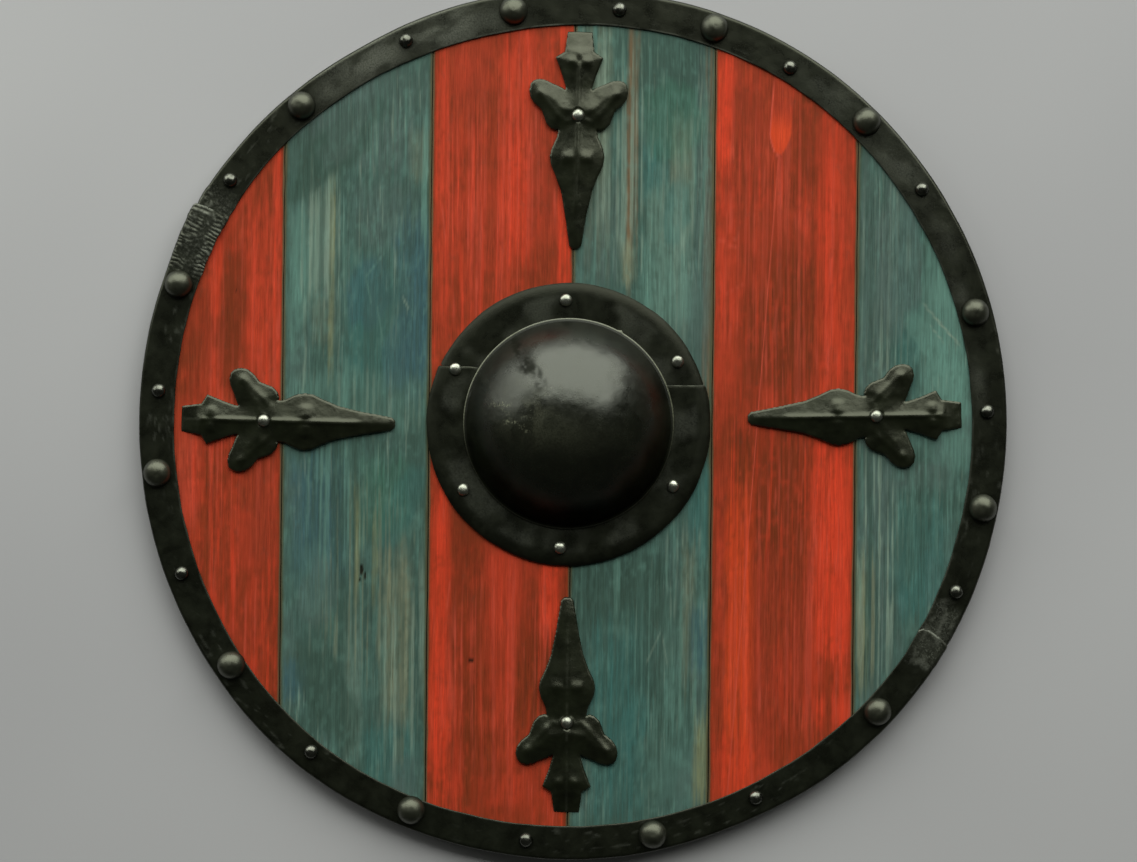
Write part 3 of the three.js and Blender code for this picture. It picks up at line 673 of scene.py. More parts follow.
def painted(index, x, y, left, right):
    """The paint's colour at each point of a plank's face, laid on coat by coat."""
    seed = 100 * index
    paint = RED_PAINT if index % 2 == 1 else TEAL_PAINT
    hair = 0.5 * streak(x, y, 0.95, 16, seed + 5) + 0.5 * streak(x, y, 1.1, 70, seed + 6)
    fine = 0.35 * streak(x, y, 1.6, 28, seed) + 0.65 * streak(x, y, 2.0, 95, seed + 3)
    medium = 0.4 * streak(x, y, 3.6, 42, seed + 10) + 0.6 * streak(x, y, 4.4, 130, seed + 13)
    comb = ramp(streak(x, y, 1.25, 130, seed + 15), 0.35, 0.7)
    wide = streak(x, y, 10, 120, seed + 20)
    cloud = fbm(x / 24, y / 50, seed + 30)
    dab = fbm(x / 3, y / 5.5, seed + 38, 2)
    mottle = fbm(x / 7, y / 11, seed + 36, 3)
    brushy = ramp(fbm(x / 20, y / 40, seed + 33, 3), -0.4, 0.25)  # where brush marks show
    colour = np.tile(PIGMENTS[paint["ground"]], (len(x), 1))

    def lay(name, alpha):
        nonlocal colour
        colour = colour + np.clip(alpha, 0, 1)[:, None] * (PIGMENTS[name] - colour)

    lay(paint["dark"], 0.5 * ramp(0.4 * wide + 0.5 * cloud, 0.38, 0.0))
    lay(paint["worn"], 0.45 * ramp(wide + 0.7 * cloud, 0.55, 1.0))
    lay(paint["dark"], 0.36 * ramp(mottle, 0.05, 0.6))
    lay(paint["light"], 0.28 * ramp(mottle, -0.1, -0.6))
    for number, (*place, name, strength) in enumerate(STROKES[index]):
        lay(name, stroke(x, y, number, seed, *place, strength) * (0.62 + 0.3 * medium + 0.42 * comb))
    calm = np.zeros(len(x))  # where smears have closed up the brush marks
    for number, (*place, name, strength) in rows_for(index, SMEARS):
        edge = smear_edge(x, y, number, seed, *place)
        lay(name, strength * ramp(edge, 1.1, 0.75))
        calm = np.maximum(calm, strength * ramp(edge, 1.1, 0.6))
    brushy = brushy * (1 - 0.8 * calm)
    lay(paint["dark"], (0.1 + 0.22 * brushy) * ramp(dab, 0.1, 0.6))
    lay(paint["light"], (0.08 + 0.2 * brushy) * ramp(dab, -0.1, -0.6))
    lay(paint["dark"], (0.08 + 0.28 * brushy) * (ramp(medium, 0.4, 0.16) * 0.5 + ramp(fine, 0.38, 0.14)))
    lay(paint["bright"], (0.08 + 0.34 * brushy) * (ramp(medium, 0.6, 0.84) * 0.4 + ramp(fine, 0.6, 0.84)))
    lay(paint["furrow"], (0.08 + 0.28 * brushy) * ramp(hair, 0.36, 0.14))
    lay(paint["bristle"], (0.05 + 0.4 * brushy) * ramp(hair * (0.7 + 0.3 * wide), 0.54, 0.76))
    for number, (middle_x, middle_y, half_x, half_y, name, strength) in rows_for(index, COMBED):
        away = np.hypot((x - middle_x) / half_x, (y - middle_y) / half_y)
        away = away + 0.3 * fbm(x / 5, y / 20, seed + 95, 3)
        lines = streak(x, y, 1.2, 170, seed + 96 + number) + 0.15 * fbm(x / 3, y / 16, seed + 97, 2)
        mask = strength * ramp(away, 1.15, 0.6) * (1 - 0.8 * calm)
        lay(name, 0.85 * mask * ramp(lines, 0.54, 0.8))
        lay(paint["dark"], 0.75 * mask * ramp(lines, 0.42, 0.18))
    if index == DRIP_PLANK:
        lay_drip(lay, x, y)
    for _, (*place, name, strength) in rows_for(index, SCRATCHES):
        lay(name, scratch(x, y, seed, *place, strength))
    edge = np.minimum(x - left, right - x) + 0.5 * fbm(y / 18, x / 8, seed + 50, 2)
    lay(paint["edge"], (0.42 + 0.3 * fbm(y / 60, index, seed + 51, 2)) * ramp(edge, 3.2, 0.8))
    colour = colour + (0.85 * ramp(edge, 1.4, 0.5))[:, None] * (SEAM_PIGMENT - colour)
    lay("soot", 0.35 * ramp(edge, 0.9, 0.2) * ramp(y, 120, -160))
    for middle_x, middle_y, half_x, half_y in CHIPS:
        away = np.hypot((x - middle_x) / half_x, (y - middle_y) / half_y)
        lay("soot", 0.95 * ramp(away + 0.5 * fbm(x / 1.2, y / 1.2, 9, 2), 1.25, 0.8))
    return colour


def relief(index, x, y):
    """Brush ridges and a slight wave in the board, in millimetres."""
    seed = 100 * index
    ridges = 0.07 * (streak(x, y, 1.5, 55, seed) - 0.5) + 0.09 * (streak(x, y, 3.4, 110, seed + 10) - 0.5)
    chips = sum(ramp(np.hypot((x - cx) / hx, (y - cy) / hy), 1.2, 0.7) for cx, cy, hx, hy in CHIPS)
    return ridges + 0.08 * fbm(x / 45, y / 200, seed + 70, 2) - 0.35 * np.clip(chips, 0, 1)


EDGE_STEPS = [(0.0, 0.34), (0.2, 0.26), (0.5, 0.16), (0.9, 0.07), (1.4, 0.0)]  # distance in, drop
SEAM_FILL = 0.12  # how far paint and filler carry each long edge into the seam
PLANK_STEP_X, PLANK_STEP_Y = 0.62, 2.6
PLANK_LIMIT = 299.4  # how far out along X the outer planks reach
NEAR = 0.02  # how far from a step in the back the nearest points stand


def plank_columns(left, right, lines):
    """X of every column: close together at the edges, and a near pair at each line where the back steps."""
    inner = [left + EDGE_STEPS[-1][0], right - EDGE_STEPS[-1][0]]
    for line in lines:
        inner += [line - NEAR, line + NEAR]
    inner = sorted(inner)
    columns = [left + step for step, _ in EDGE_STEPS[:-1]]
    for start, end in zip(inner, inner[1:]):
        count = max(1, round((end - start) / PLANK_STEP_X))
        columns += list(np.linspace(start, end, count, endpoint=False))
    return np.array(columns + [inner[-1]] + [right - step for step, _ in reversed(EDGE_STEPS[:-1])])


def add_plank(index):
    low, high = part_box(f"plank_{index}")
    left = max(low.x / MM - SEAM_FILL, -PLANK_LIMIT)
    right = min(high.x / MM + SEAM_FILL, PLANK_LIMIT)
    recess_x = GRIP_WIDTH / 2 + RECESS_GAP
    recess_y = GRIP_LENGTH / 2 + RECESS_GAP
    recess_top = BOARD_BACK + GRIP_END + RECESS_GAP
    hold = left < BOSS_X < right or abs(right - BOSS_X) < 5 or abs(left - BOSS_X) < 5
    lines = []
    for off in (-HAND_HOLE_RADIUS, -recess_x, recess_x, HAND_HOLE_RADIUS):
        if hold and left + 2 < BOSS_X + off < right - 2:
            lines.append(BOSS_X + off)
    xs = plank_columns(left, right, lines)
    reach = np.sqrt(BOARD_RADIUS**2 - xs**2)
    hole = np.sqrt(np.clip(HAND_HOLE_RADIUS**2 - (xs - BOSS_X) ** 2, 0, None))
    in_hole = hole > 0
    in_recess = np.abs(xs - BOSS_X) < recess_x
    blocks = []
    if hold:
        count_out = round((BOARD_RADIUS - recess_y) / PLANK_STEP_Y)
        count_in = round(recess_y / PLANK_STEP_Y)
        for side in (-1, 1):
            before = np.full_like(xs, BOSS_Y + side * (recess_y + NEAR))
            after = np.full_like(xs, BOSS_Y + side * (recess_y - NEAR))
            outer = np.linspace(side * reach, before, count_out)
            inner = np.linspace(after, BOSS_Y + side * hole, count_in)
            kept = [0, count_out - 1, count_out, count_out + count_in - 1]
            blocks.append((np.vstack([outer, inner]), kept))
    else:
        rows = round(2 * reach.max() / PLANK_STEP_Y)
        blocks.append((np.linspace(-reach, reach, rows), [0, rows - 1]))
    columns = len(xs)
    drop = np.interp(np.minimum(xs - left, right - xs), *zip(*EDGE_STEPS))
    points, faces, kinds, colours = [], [], [], []
    start = 0
    for y, kept in blocks:
        x = np.broadcast_to(xs, y.shape)
        near = np.minimum(x - left, right - x)
        seam = index + (x > (left + right) / 2)
        flow = 0.3 * fbm(y / 24, seam * 9.0, 300, 2) * ramp(near, 2.5, 0.0)
        z = BOARD_FRONT - drop + relief(index, x, y) * ramp(near, 0.0, 1.0)
        top = np.stack([x + flow, y, z], -1).reshape(-1, 3)
        back = np.full((len(kept), columns), BOARD_BACK)
        if hold:
            back[2:, in_recess] = recess_top
        bottom = np.stack([np.broadcast_to(xs, back.shape), y[kept], back], -1).reshape(-1, 3)
        points += [top, bottom]
        colours.append(painted(index, top[:, 0], top[:, 1], left, right))
        colours.append(np.tile(PIGMENTS["soot"], (len(bottom), 1)))
        below = start + len(top)
        face = grid_faces(y.shape[0], columns) + start
        faces += face.tolist()
        kinds += [0] * len(face)
        under = (grid_faces(len(kept), columns) + below)[:, ::-1]
        faces += under.tolist()
        kinds += [2] * len(under)
        ends = [(0, 0)] if hold else [(0, 0), (y.shape[0] - 1, len(kept) - 1)]
        walls = [(start + row * columns + c, below + kept_row * columns + c) for row, kept_row in ends
                 for c in range(columns - 1)]
        if hold:
            row, kept_row = y.shape[0] - 1, len(kept) - 1
            walls += [(start + row * columns + c, below + kept_row * columns + c) for c in range(columns - 1)
                      if in_hole[c] or in_hole[c + 1]]
        faces += [[a, a + 1, b + 1, b] for a, b in walls]
        kinds += [2] * len(walls)
        for column in (0, columns - 1):
            over = [start + row * columns + column for row in range(y.shape[0])]
            beneath = [below + row * columns + column for row in range(len(kept))]
            faces.append(over + beneath[::-1])
            kinds.append(1)
        start = below + len(bottom)
    piece = finish_mesh(f"painted_plank_{index}", np.vstack(points), faces, [PAINT, GROOVE, BARE_WOOD], kinds,
                        colours={"paint": np.vstack(colours)}, weld=0.001)
    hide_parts(f"plank_{index}")


# ---- Rim -----------------------------------------------------------------------------------------------


def swelling(angle, swells):
    total = np.zeros_like(angle)
    for at, spread, out in swells:
        away = (angle - at + 540) % 360 - 180
        total += out * np.exp(-((away / spread) ** 2))
    return total


def rim_profile():
    """The channel's cross-section, as distance in from its outer edge and height, from the back flange on."""
    fold, sheet, height = RIM_FOLD_RADIUS, RIM_SHEET, RIM_HEIGHT
    bevel = 0.55
    rows = [(RIM_BACK_WIDTH, 0.35), (RIM_BACK_WIDTH - 0.35, 0.0), (11, 0), (7, 0)]
    for lift in np.radians(np.linspace(-90, 0, 6)):
        rows.append((fold - fold * math.cos(lift), fold + fold * math.sin(lift)))
    rows += [(0, 5), (0, 7.6), (0, 10.2)]
    for lift in np.radians(np.linspace(0, 90, 7)):
        rows.append((fold - fold * math.cos(lift), height - fold + fold * math.sin(lift)))
    rows += [(inward, height) for inward in np.linspace(3.4, RIM_FRONT_WIDTH - bevel, 22)]
    middle_x, middle_z = RIM_FRONT_WIDTH - bevel, height - bevel
    for turn in np.radians(np.linspace(22, 90, 4)):
        rows.append((middle_x + bevel * math.sin(turn), middle_z + bevel * math.cos(turn)))
    rows += [(RIM_FRONT_WIDTH, height - sheet), (13, height - sheet), (sheet, height - sheet), (sheet, 7.6),
             (sheet, sheet), (RIM_BACK_WIDTH, sheet)]
    return np.array(rows)


RIM_STEP, JOINT_STEP = 0.4, 0.11
RIM_MIDDLE = 290  # radius at which lengths along the rim are measured
BEATEN_MIDDLE = 152.5  # middle of the beaten stretch at the left joint
RIPPLE_PITCH = 2.9
# How far the end that lies on top bulges along the rim, in degrees, at each distance in from its edge.
LAP_BULGE = [(0, -0.5), (1.5, -0.1), (8, 0.25), (17, 0.4), (21.5, 0.3), (24.5, -0.35)]
LAP_LIFT, LAP_TUCK = 1.45, 0.85  # how high that end stands, and how far in degrees the other reaches under it
# Rubbed stretches: angle, spread, middle and spread inwards, strength.
SCUFFS = [(109, 6, 13, 14, 0.85), (119.5, 5.5, 12, 14, 0.8), (126, 3, 14, 9, 0.5), (102, 4, 15, 9, 0.4),
          (52, 6, 12, 12, 0.25), (41, 7, 13, 12, 0.45), (28, 5, 14, 8, 0.2),
          (7, 4, 19, 5, 0.3), (20, 3, 19, 5, 0.4), (330, 4, 12, 12, 0.3)]


def turned_from(angle, other):
    """Degrees between two angles, the short way round."""
    return np.abs((angle - other + 180) % 360 - 180)


def hammered(angle):
    """How roughly the rim was beaten at each point: 1 beside the left joint, less beside the right one."""
    left = ramp(np.abs(angle - BEATEN_MIDDLE), 8.5, 4.5)
    right = 0.55 * ramp(turned_from(angle, JOINT_RIGHT), 5.6, 3.2)
    return np.maximum(left, right)


def rim_angles(start, end):
    """Where the rim's rings are, closer together beside the hammered joints."""
    angles = [start]
    while angles[-1] < end - 1e-6:
        away = min(turned_from(angles[-1], joint) for joint in (JOINT_LEFT + 2.5, JOINT_RIGHT))
        angles.append(min(angles[-1] + (JOINT_STEP if away < 9.5 else RIM_STEP), end))
    return np.array(angles)


def rim_wear_and_highlights(angle, arc, inward, height, ends, rough, blows, top, over):
    """Where the rim is scuffed, where it is scuffed in specks, and where highlights are painted on its edges.
    """
    crest = ramp(blows, 0.03, 0.2) * ramp(fbm(arc / 10, inward / 6, 27, 2), -0.8, 0.0)
    wear_and_highlight = rough * top * (0.12 + 1.05 * crest)
    uneven = 2.4 * fbm(arc / 7, inward / 7, 35, 3)
    ground = ramp(turned_from(angle, JOINT_RIGHT) + uneven / 2, 5.2, 4.2)
    ground = ground * ramp(inward + uneven, 1.5, 5) * ramp(inward + uneven, 24, 18)
    wear_and_highlight = np.maximum(wear_and_highlight, top * ground * (0.12 + 0.5 * ramp(fbm(arc / 5, inward / 4, 34, 4), -0.25, 0.5)))
    speck_and_glint = np.maximum(0.55 * rough, 0.7 * ground) * top
    fleck = ramp(fbm(arc / 7, inward / 2.8, 28, 3), 0.3, 0.7)
    fleck = fleck * ramp(fbm(arc / 60, inward / 30, 29, 2), -0.2, 0.4)
    wear_and_highlight = np.maximum(wear_and_highlight, 0.3 * top * fleck)
    wear_and_highlight, speck_and_glint = 0.5 * wear_and_highlight, 0.4 * speck_and_glint
    # Where one half lies over the other, painted highlights on its end edge and on the ridge just behind it.
    if over:
        across = np.where(angle < 180, ramp(inward, 15, 12), 0.35 + 0.65 * ramp(inward, 7, 10))
        lap_edge_highlight = ramp(ends, 0.32, 0.14) * across
        ridge = 0.9 * np.exp(-(((ends - 0.75) / 0.16) ** 2)) * ramp(inward, 15, 12) * (angle < 180)
        wear_and_highlight = np.maximum(wear_and_highlight, top * np.maximum(lap_edge_highlight, ridge))
    mottle = 0.25 + 0.75 * ramp(fbm(arc / 13, inward / 7, 31, 4), -0.35, 0.25)
    for at, spread, middle, width, strength in SCUFFS:
        blotch = np.exp(-(((angle - at) / spread) ** 2)) * np.exp(-(((inward - middle) / width) ** 2))
        wear_and_highlight = np.maximum(wear_and_highlight, 0.5 * top * strength * blotch * mottle)
        speck_and_glint = np.maximum(speck_and_glint, 0.22 * top * strength * blotch)
    # The inner edge is rubbed pale all round, and a painted highlight makes it brighter near the top, where
    # light falls on it.
    bright = 0.3 + 0.55 * ramp(np.abs(angle - 87), 30, 16)
    edge = ramp(np.abs(inward - RIM_FRONT_WIDTH + 0.4), 0.7, 0.2) * (height > RIM_HEIGHT - 1) * bright
    wear_and_highlight = np.maximum(wear_and_highlight, 0.5 * edge * noise(arc / 7, 2.0, 33))
    # A painted highlight along the crest of the outer fold at the upper left.
    crown = ramp(np.abs(inward - 1.9), 1.0, 0.3) * (height > RIM_HEIGHT - 2)
    crown = crown * ramp(np.abs(angle - 116), 13, 8)
    return np.maximum(wear_and_highlight, 0.5 * crown * (0.5 + 0.5 * noise(arc / 5, 2.0, 36))), speck_and_glint


def add_rim_half(name, node, start, end, swell, over):
    angles = rim_angles(start, end)
    profile = rim_profile()
    inward, height = profile[:, 0][None, :], profile[:, 1][None, :]
    angle = np.broadcast_to(angles[:, None], (len(angles), len(profile)))
    arc = np.radians(angle) * RIM_MIDDLE
    outer = swelling(angle, OUTER_SWELLS + [swell])
    inner = swelling(angle, INNER_SWELLS)
    front = (height > RIM_HEIGHT / 2) & (inward > RIM_FOLD_RADIUS)
    flange = RIM_FRONT_WIDTH - RIM_FOLD_RADIUS
    share = np.where(front, np.clip((inward - RIM_FOLD_RADIUS) / flange, 0, 1), 0)
    shift = outer + (inner - outer) * share
    rough = hammered(angle)
    shift = shift + share * (0.35 * fbm(arc / 16, 3.0, 11, 2) + 0.5 * rough * fbm(arc / 5, 8.0, 12, 2))
    shift = shift + (1 - share) * (0.25 * fbm(arc / 22, 5.0, 13, 2) + 0.4 * rough * fbm(arc / 4, 9.0, 14, 2))
    top = ramp(height, RIM_HEIGHT - 1.0, RIM_HEIGHT - 0.3)
    wave = 0.16 * fbm(arc / 26, inward / 14, 21, 2) + 0.06 * fbm(arc / 6, inward / 6, 22, 2)
    ripple = np.sin((arc / RIPPLE_PITCH + 1.0 * fbm(arc / 9, inward / 6, 23, 2)) * 2 * math.pi)
    struck = np.maximum(ramp(inward, 12.5, 9), 0.9 * ramp(inward, 16, 19))
    struck = struck * ramp(fbm(arc / 9, inward / 6, 25, 2), -0.45, 0.25)
    struck = struck * ramp(angle, 149.8, 150.6) * ramp(angle, 161.5, 159.5)
    blows = rough * (0.27 * ripple * struck + 0.22 * fbm(arc / 2.1, inward / 2.1, 24, 2))
    lift = np.zeros_like(arc)
    ends = np.minimum(angle - start, end - angle)
    front_part = ramp(height, 6, 12)
    if over:
        lift = LAP_LIFT * ramp(ends, 8.5, 3.5)
        bulge = np.interp(inward, *zip(*LAP_BULGE)) * ramp(ends, 2.5, 0.0)
        angle = angle + front_part * bulge * np.where(end - angle < angle - start, 1, -1)
        lift = lift - 0.2 * ramp(ends, 0.5, 0.0)
        lift = lift + 0.35 * np.exp(-(((ends - 0.75) / 0.2) ** 2)) * ramp(inward, 15, 12) * (angle < 180)
    else:
        tuck = LAP_TUCK * front_part
        angle = start - tuck + (angle - start) * (end - start + 2 * tuck) / (end - start)
        shift = shift - 0.5 * ramp(ends, 2.0, 0.0)
    z = height + top * (wave + blows) + lift * front_part
    radius = SHIELD_RADIUS - inward + shift
    turn = np.radians(angle)
    points = np.stack([radius * np.cos(turn), radius * np.sin(turn), np.broadcast_to(z, turn.shape)], -1)
    count = len(profile)
    faces = grid_faces(len(angles), count, wrap=True).tolist()
    faces += [list(range(count)), [(len(angles) - 1) * count + c for c in range(count)]]
    wear_and_highlight, speck_and_glint = rim_wear_and_highlights(angle, arc, inward, height, ends, rough, blows, top, over)
    piece = finish_mesh(name, points.reshape(-1, 3), faces, [RIM_IRON], sharp=50,
                        colours={"wear_and_highlight": wear_and_highlight.ravel(), "speck_and_glint": speck_and_glint.ravel()})
    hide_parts(node)


# ---- Studs and rivets ----------------------------------------------------------------------------------


def add_head(name, node, radius, height, skirt, material, slot, seed, sides, rings):
    """A hammered domed head where the frame's node is, a little out of round and off level."""
    low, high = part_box(node)
    centre = ((low + high) / 2) / MM
    seat = low.z / MM
    turn = np.linspace(0, 2 * math.pi, sides, endpoint=False)[None, :]
    rows = [(0.0, 0.0), (radius * 0.8, 0.0), (radius, 0.0), (radius, skirt * 0.6)]
    for ring in range(rings + 1):
        lift = (ring / rings) * math.pi / 2
        rows.append((radius * math.cos(lift), skirt + (height - skirt) * math.sin(lift)))
    rows[-1] = (0.0, height)
    rows = np.array(rows)
    out, up = rows[:, 0][:, None], rows[:, 1][:, None] + 0 * turn
    dent = 0.8 * radius
    dents = fbm(out * np.cos(turn) / dent + seed, out * np.sin(turn) / dent, seed, 2)
    dented = 1 + 0.035 * dents * (up > 0)
    x = centre.x + out * dented * np.cos(turn)
    y = centre.y + out * dented * np.sin(turn)
    z = seat + up * (1 + 0.02 * np.sin(turn + seed)) * dented
    points = np.stack([x, y, z], -1)[1:-1].reshape(-1, 3)
    rings_kept = len(rows) - 2
    base, tip = len(points), len(points) + 1
    points = np.vstack([points, [centre.x, centre.y, seat], [centre.x, centre.y, seat + height]])
    faces = grid_faces(rings_kept, sides, wrap=True).tolist()
    last = (rings_kept - 1) * sides
    for side in range(sides):
        ahead = (side + 1) % sides
        faces += [[base, ahead, side], [tip, last + side, last + ahead]]
    dull = 0.9 * ramp(points[:, 2] - seat, 0.62 * height, 0.2 * height)
    piece = finish_mesh(name, points, faces, [material], sharp=45, colours={"dull": dull})
    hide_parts(node)


# Each kind of head: radius, height, height of its straight skirt, material and slot.
STUD = (9.8, 9.2, 1.0, STUD_IRON, "black_iron")
RIM_RIVET = (5.0, 4.6, 0.6, DARK_STEEL, "rivet_steel")
RIVET = (4.3, 3.2, 0.5, RIVET_STEEL, "rivet_steel")


def add_heads():
    for number in range(1, 13):
        add_head(f"domed_stud_{number:02d}", f"rim_stud_{number:02d}", *STUD, 40 + number, 44, 14)
        add_head(f"small_rivet_{number:02d}", f"rim_rivet_{number:02d}", *RIM_RIVET, 60 + number, 28, 9)
    for number in range(1, 7):
        add_head(f"collar_rivet_{number:02d}", f"boss_rivet_{number:02d}", *RIVET, 80 + number, 28, 8)
    for number, side in enumerate(STRAPS):
        add_head(f"strap_head_{side}", f"strap_rivet_{side}", *RIVET, 90 + number, 28, 8)


# ---- Boss ----------------------------------------------------------------------------------------------


COLLAR_STEP, COLLAR_REACH, COLLAR_WANDER = 1.2, 100.8, 0.4


def collar_seam(x):
    """Y of the line where the collar's two plates meet, from the boss centre."""
    return np.where(x < 0, SEAM_LEFT, SEAM_RIGHT) + 0.5 * fbm(x / 9, 1.0, 51, 2) + 0.012 * np.abs(x)


def collar_top(x, y, outer, sheet):
    radius = np.hypot(x, y)
    slope = np.clip((radius - COLLAR_BEND + 2) / (outer - COLLAR_BEND + 2), 0, 1) ** 2.6
    dents = 0.14 * fbm(x / 13, y / 13, 52, 3) + 0.05 * fbm(x / 4, y / 4, 53, 2)
    roll = 0.5 * ramp(radius, outer - 1.0, outer)
    return COLLAR_SEAT + sheet + COLLAR_RISE * (1 - slope) + dents - roll


def add_collar(name, node, outer, sheet, upper):
    def inside(x, y):
        radius, turn = np.hypot(x, y), np.arctan2(y, x)
        rim = outer + COLLAR_WANDER * fbm(turn * 6, 2.0, 54, 2) - radius
        seam = y - collar_seam(x)
        return np.minimum(np.minimum(rim, radius - COLLAR_INNER), seam - 0.15 if upper else -seam - 0.15)

    def top(x, y):
        height = collar_top(x, y, outer, sheet)
        if not upper:
            height = height - 0.3 * ramp(collar_seam(x) - y, 0.9, 0.15)
        return height

    def bottom(x, y):
        return collar_top(x, y, outer, sheet) - sheet + 0.02

    def wear_and_highlight(x, y):
        radius = np.hypot(x, y)
        # On the lower plate, right of the boss, a painted highlight along its edge at the seam, which faces
        # up into the light.
        seam = ramp(np.abs(y - collar_seam(x)), 0.9, 0.3) * (0.0 if upper else 0.2)
        rubbed = 0.12 * ramp(radius, COLLAR_BEND + 1, COLLAR_BEND - 4)
        rubbed = rubbed * ramp(fbm(x / 20, y / 20, 55, 3), -0.2, 0.5)
        return np.maximum(seam * (x > 0), rubbed)

    def dull(x, y):
        return 0.45 * ramp(np.hypot(x, y), COLLAR_BEND - 2, COLLAR_BEND + 3)

    lowest, highest = (20.4, COLLAR_REACH) if upper else (-COLLAR_REACH, 45.9)
    xs = np.arange(-COLLAR_REACH, COLLAR_REACH + 0.1, COLLAR_STEP)
    ys = np.arange(lowest, highest + 0.1, COLLAR_STEP)
    piece = plate(name, inside, top, bottom, xs, ys, [RIM_IRON], tones={"wear_and_highlight": wear_and_highlight, "dull": dull},
                  place=lambda points: points + np.array([BOSS_X, BOSS_Y, 0]))
    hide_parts(node)


# Dull smears that break up the dome's shine: from, to, half width and strength.
DOME_SMEARS = [((-38, 56), (-28, 38), 5.5, 0.8), ((-27, 38), (-20, 27), 4, 0.6),
               ((-62, 20), (-58, 32), 5, 0.45), ((46, 28), (50, 8), 5, 0.5), ((-56, 8), (-44, 0), 4, 0.5)]
# Where its finish is rubbed through in specks, painted pale so that they also stand for glints off the rough
# metal: middle, spread along X and Y, and strength.
DOME_SPECKS_AND_GLINTS = [(-48, 12, 7, 3.5, 1), (-40, 2, 7, 3, 0.9), (-33, -5, 5, 2.5, 0.7), (-13, 23, 4, 3.5, 1),
               (-26, 6, 8, 3, 0.35)]


def add_dome():
    """The hollow dome: one skin round its outside and inside, with a cut edge standing out at its foot."""
    sphere = (DOME_RADIUS**2 + DOME_HEIGHT**2) / (2 * DOME_HEIGHT)
    centre = DOME_HEIGHT - sphere
    inner = sphere - DOME_SHEET
    foot, inner_foot = math.asin(-centre / sphere), math.asin(-centre / inner)
    sides = 320
    turn = np.linspace(0, 2 * math.pi, sides, endpoint=False)[None, :]
    rows = []
    for lift in np.linspace(math.pi / 2, foot + 0.028, 84)[1:]:
        rows.append((sphere * math.cos(lift), centre + sphere * math.sin(lift), 1.0))
    lip = DOME_RADIUS + DOME_LIP
    rows += [(DOME_RADIUS + 0.15, DOME_SHEET + 0.15, 0.3), (lip - 0.35, DOME_SHEET - 0.05, 0),
             (lip, DOME_SHEET - 0.4, 0), (lip, 0.0, 0)]
    for lift in np.linspace(inner_foot, math.pi / 2, 20)[:-1]:
        rows.append((inner * math.cos(lift), centre + inner * math.sin(lift), 0.3))
    rows = np.array(rows)
    out, up, beaten = (rows[:, column][:, None] + 0 * turn for column in range(3))
    x, y = out * np.cos(turn), out * np.sin(turn)
    dents = 0.22 * fbm(x / 17, y / 17, 61, 3) + 0.07 * fbm(x / 5, y / 5, 62, 2)
    tab = 1.5 * np.exp(-(((np.degrees(turn) - 61) / 0.9) ** 2)) * (out > DOME_RADIUS + 0.5)
    scale = 1 + (beaten * dents + tab) / np.maximum(np.hypot(out, up - centre), 1)
    x, y, z = x * scale, y * scale, centre + (up - centre) * (1 + (scale - 1) * (beaten > 0))
    points = np.stack([x + BOSS_X, y + BOSS_Y, z + DOME_FOOT], -1).reshape(-1, 3)
    crown, cup = len(points), len(points) + 1
    top = DOME_FOOT + DOME_HEIGHT
    points = np.vstack([points, [BOSS_X, BOSS_Y, top], [BOSS_X, BOSS_Y, top - DOME_SHEET]])
    faces = grid_faces(len(rows), sides, wrap=True).tolist()
    last = (len(rows) - 1) * sides
    for side in range(sides):
        ahead = (side + 1) % sides
        faces += [[crown, side, ahead], [cup, last + ahead, last + side]]
    px, py = points[:, 0] - BOSS_X, points[:, 1] - BOSS_Y
    # Painted light on the dome: a faint pale pool over its middle, and mottled pale glints to the left of it.
    patchy = ramp(fbm(px / 7, py / 7, 63, 3), -0.1, 0.35)
    worn = 0.09 * bell(px, py, -6, -7, 34, 14) + 0.16 * bell(px, py, -30, 8, 18, 16) * patchy
    # Rubbed specks, painted pale so that they also stand for glints.
    speck_and_glint = sum(strength * bell(px, py, *place) for *place, strength in DOME_SPECKS_AND_GLINTS)
    speck_and_glint = np.clip(1.5 * speck_and_glint * ramp(fbm(px / 4, py / 3, 65, 3), -0.2, 0.25), 0, 1)
    upward = py / np.maximum(np.hypot(px, py), 1)
    # A painted highlight along the cut edge at the dome's foot: bright on the upper side, which faces the
    # light, and faint below.
    foot_highlight = 0.08 + 0.92 * ramp(upward, -0.35, 0.3) * (0.6 + 0.4 * noise(px / 9, py / 9, 67))
    edge = foot_highlight * (np.hypot(px, py) > DOME_RADIUS + 0.3)
    wear_and_highlight = np.clip(np.maximum(worn, edge), 0, 1)
    reach = np.hypot(px, py) + 3 * fbm(px / 14, py / 14, 64, 3)
    below = ramp(upward, 0.35, -0.45)
    dull = np.where(edge > 0, 0, ramp(reach, 58 - 12 * below, 68 - 4 * below) * (0.55 + 0.4 * below))
    dull = np.maximum(dull, 0.28 * bell(px, py, -45, 24, 13, 15))
    blotch = 0.25 + 0.75 * ramp(fbm(px / 3.2, py / 3.2, 68, 4), -0.35, 0.2)
    for start, end, width, strength in DOME_SMEARS:
        away = off_line(px, py, start, end) + 5 * fbm(px / 7, py / 7, 66, 4)
        dull = np.maximum(dull, strength * blotch * ramp(away, width + 4, width - 3))
    piece = finish_mesh("hollow_dome", points, faces, [BOSS_IRON], sharp=42,
                        colours={"wear_and_highlight": wear_and_highlight, "dull": dull, "speck_and_glint": speck_and_glint})
    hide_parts("boss_dome")


# ---- Straps --------------------------------------------------------------------------------------------

STRAP_STEP = 0.7
BLADE_SPINE, LEAF_SPINE = (0.72, 1.6), (0.45, 2.2)  # height and width of the raised spines
LEAF_SPINE_ROUTE = [(90, 0), (88, 10), (92.5, 15), (107.5, 28.5)]
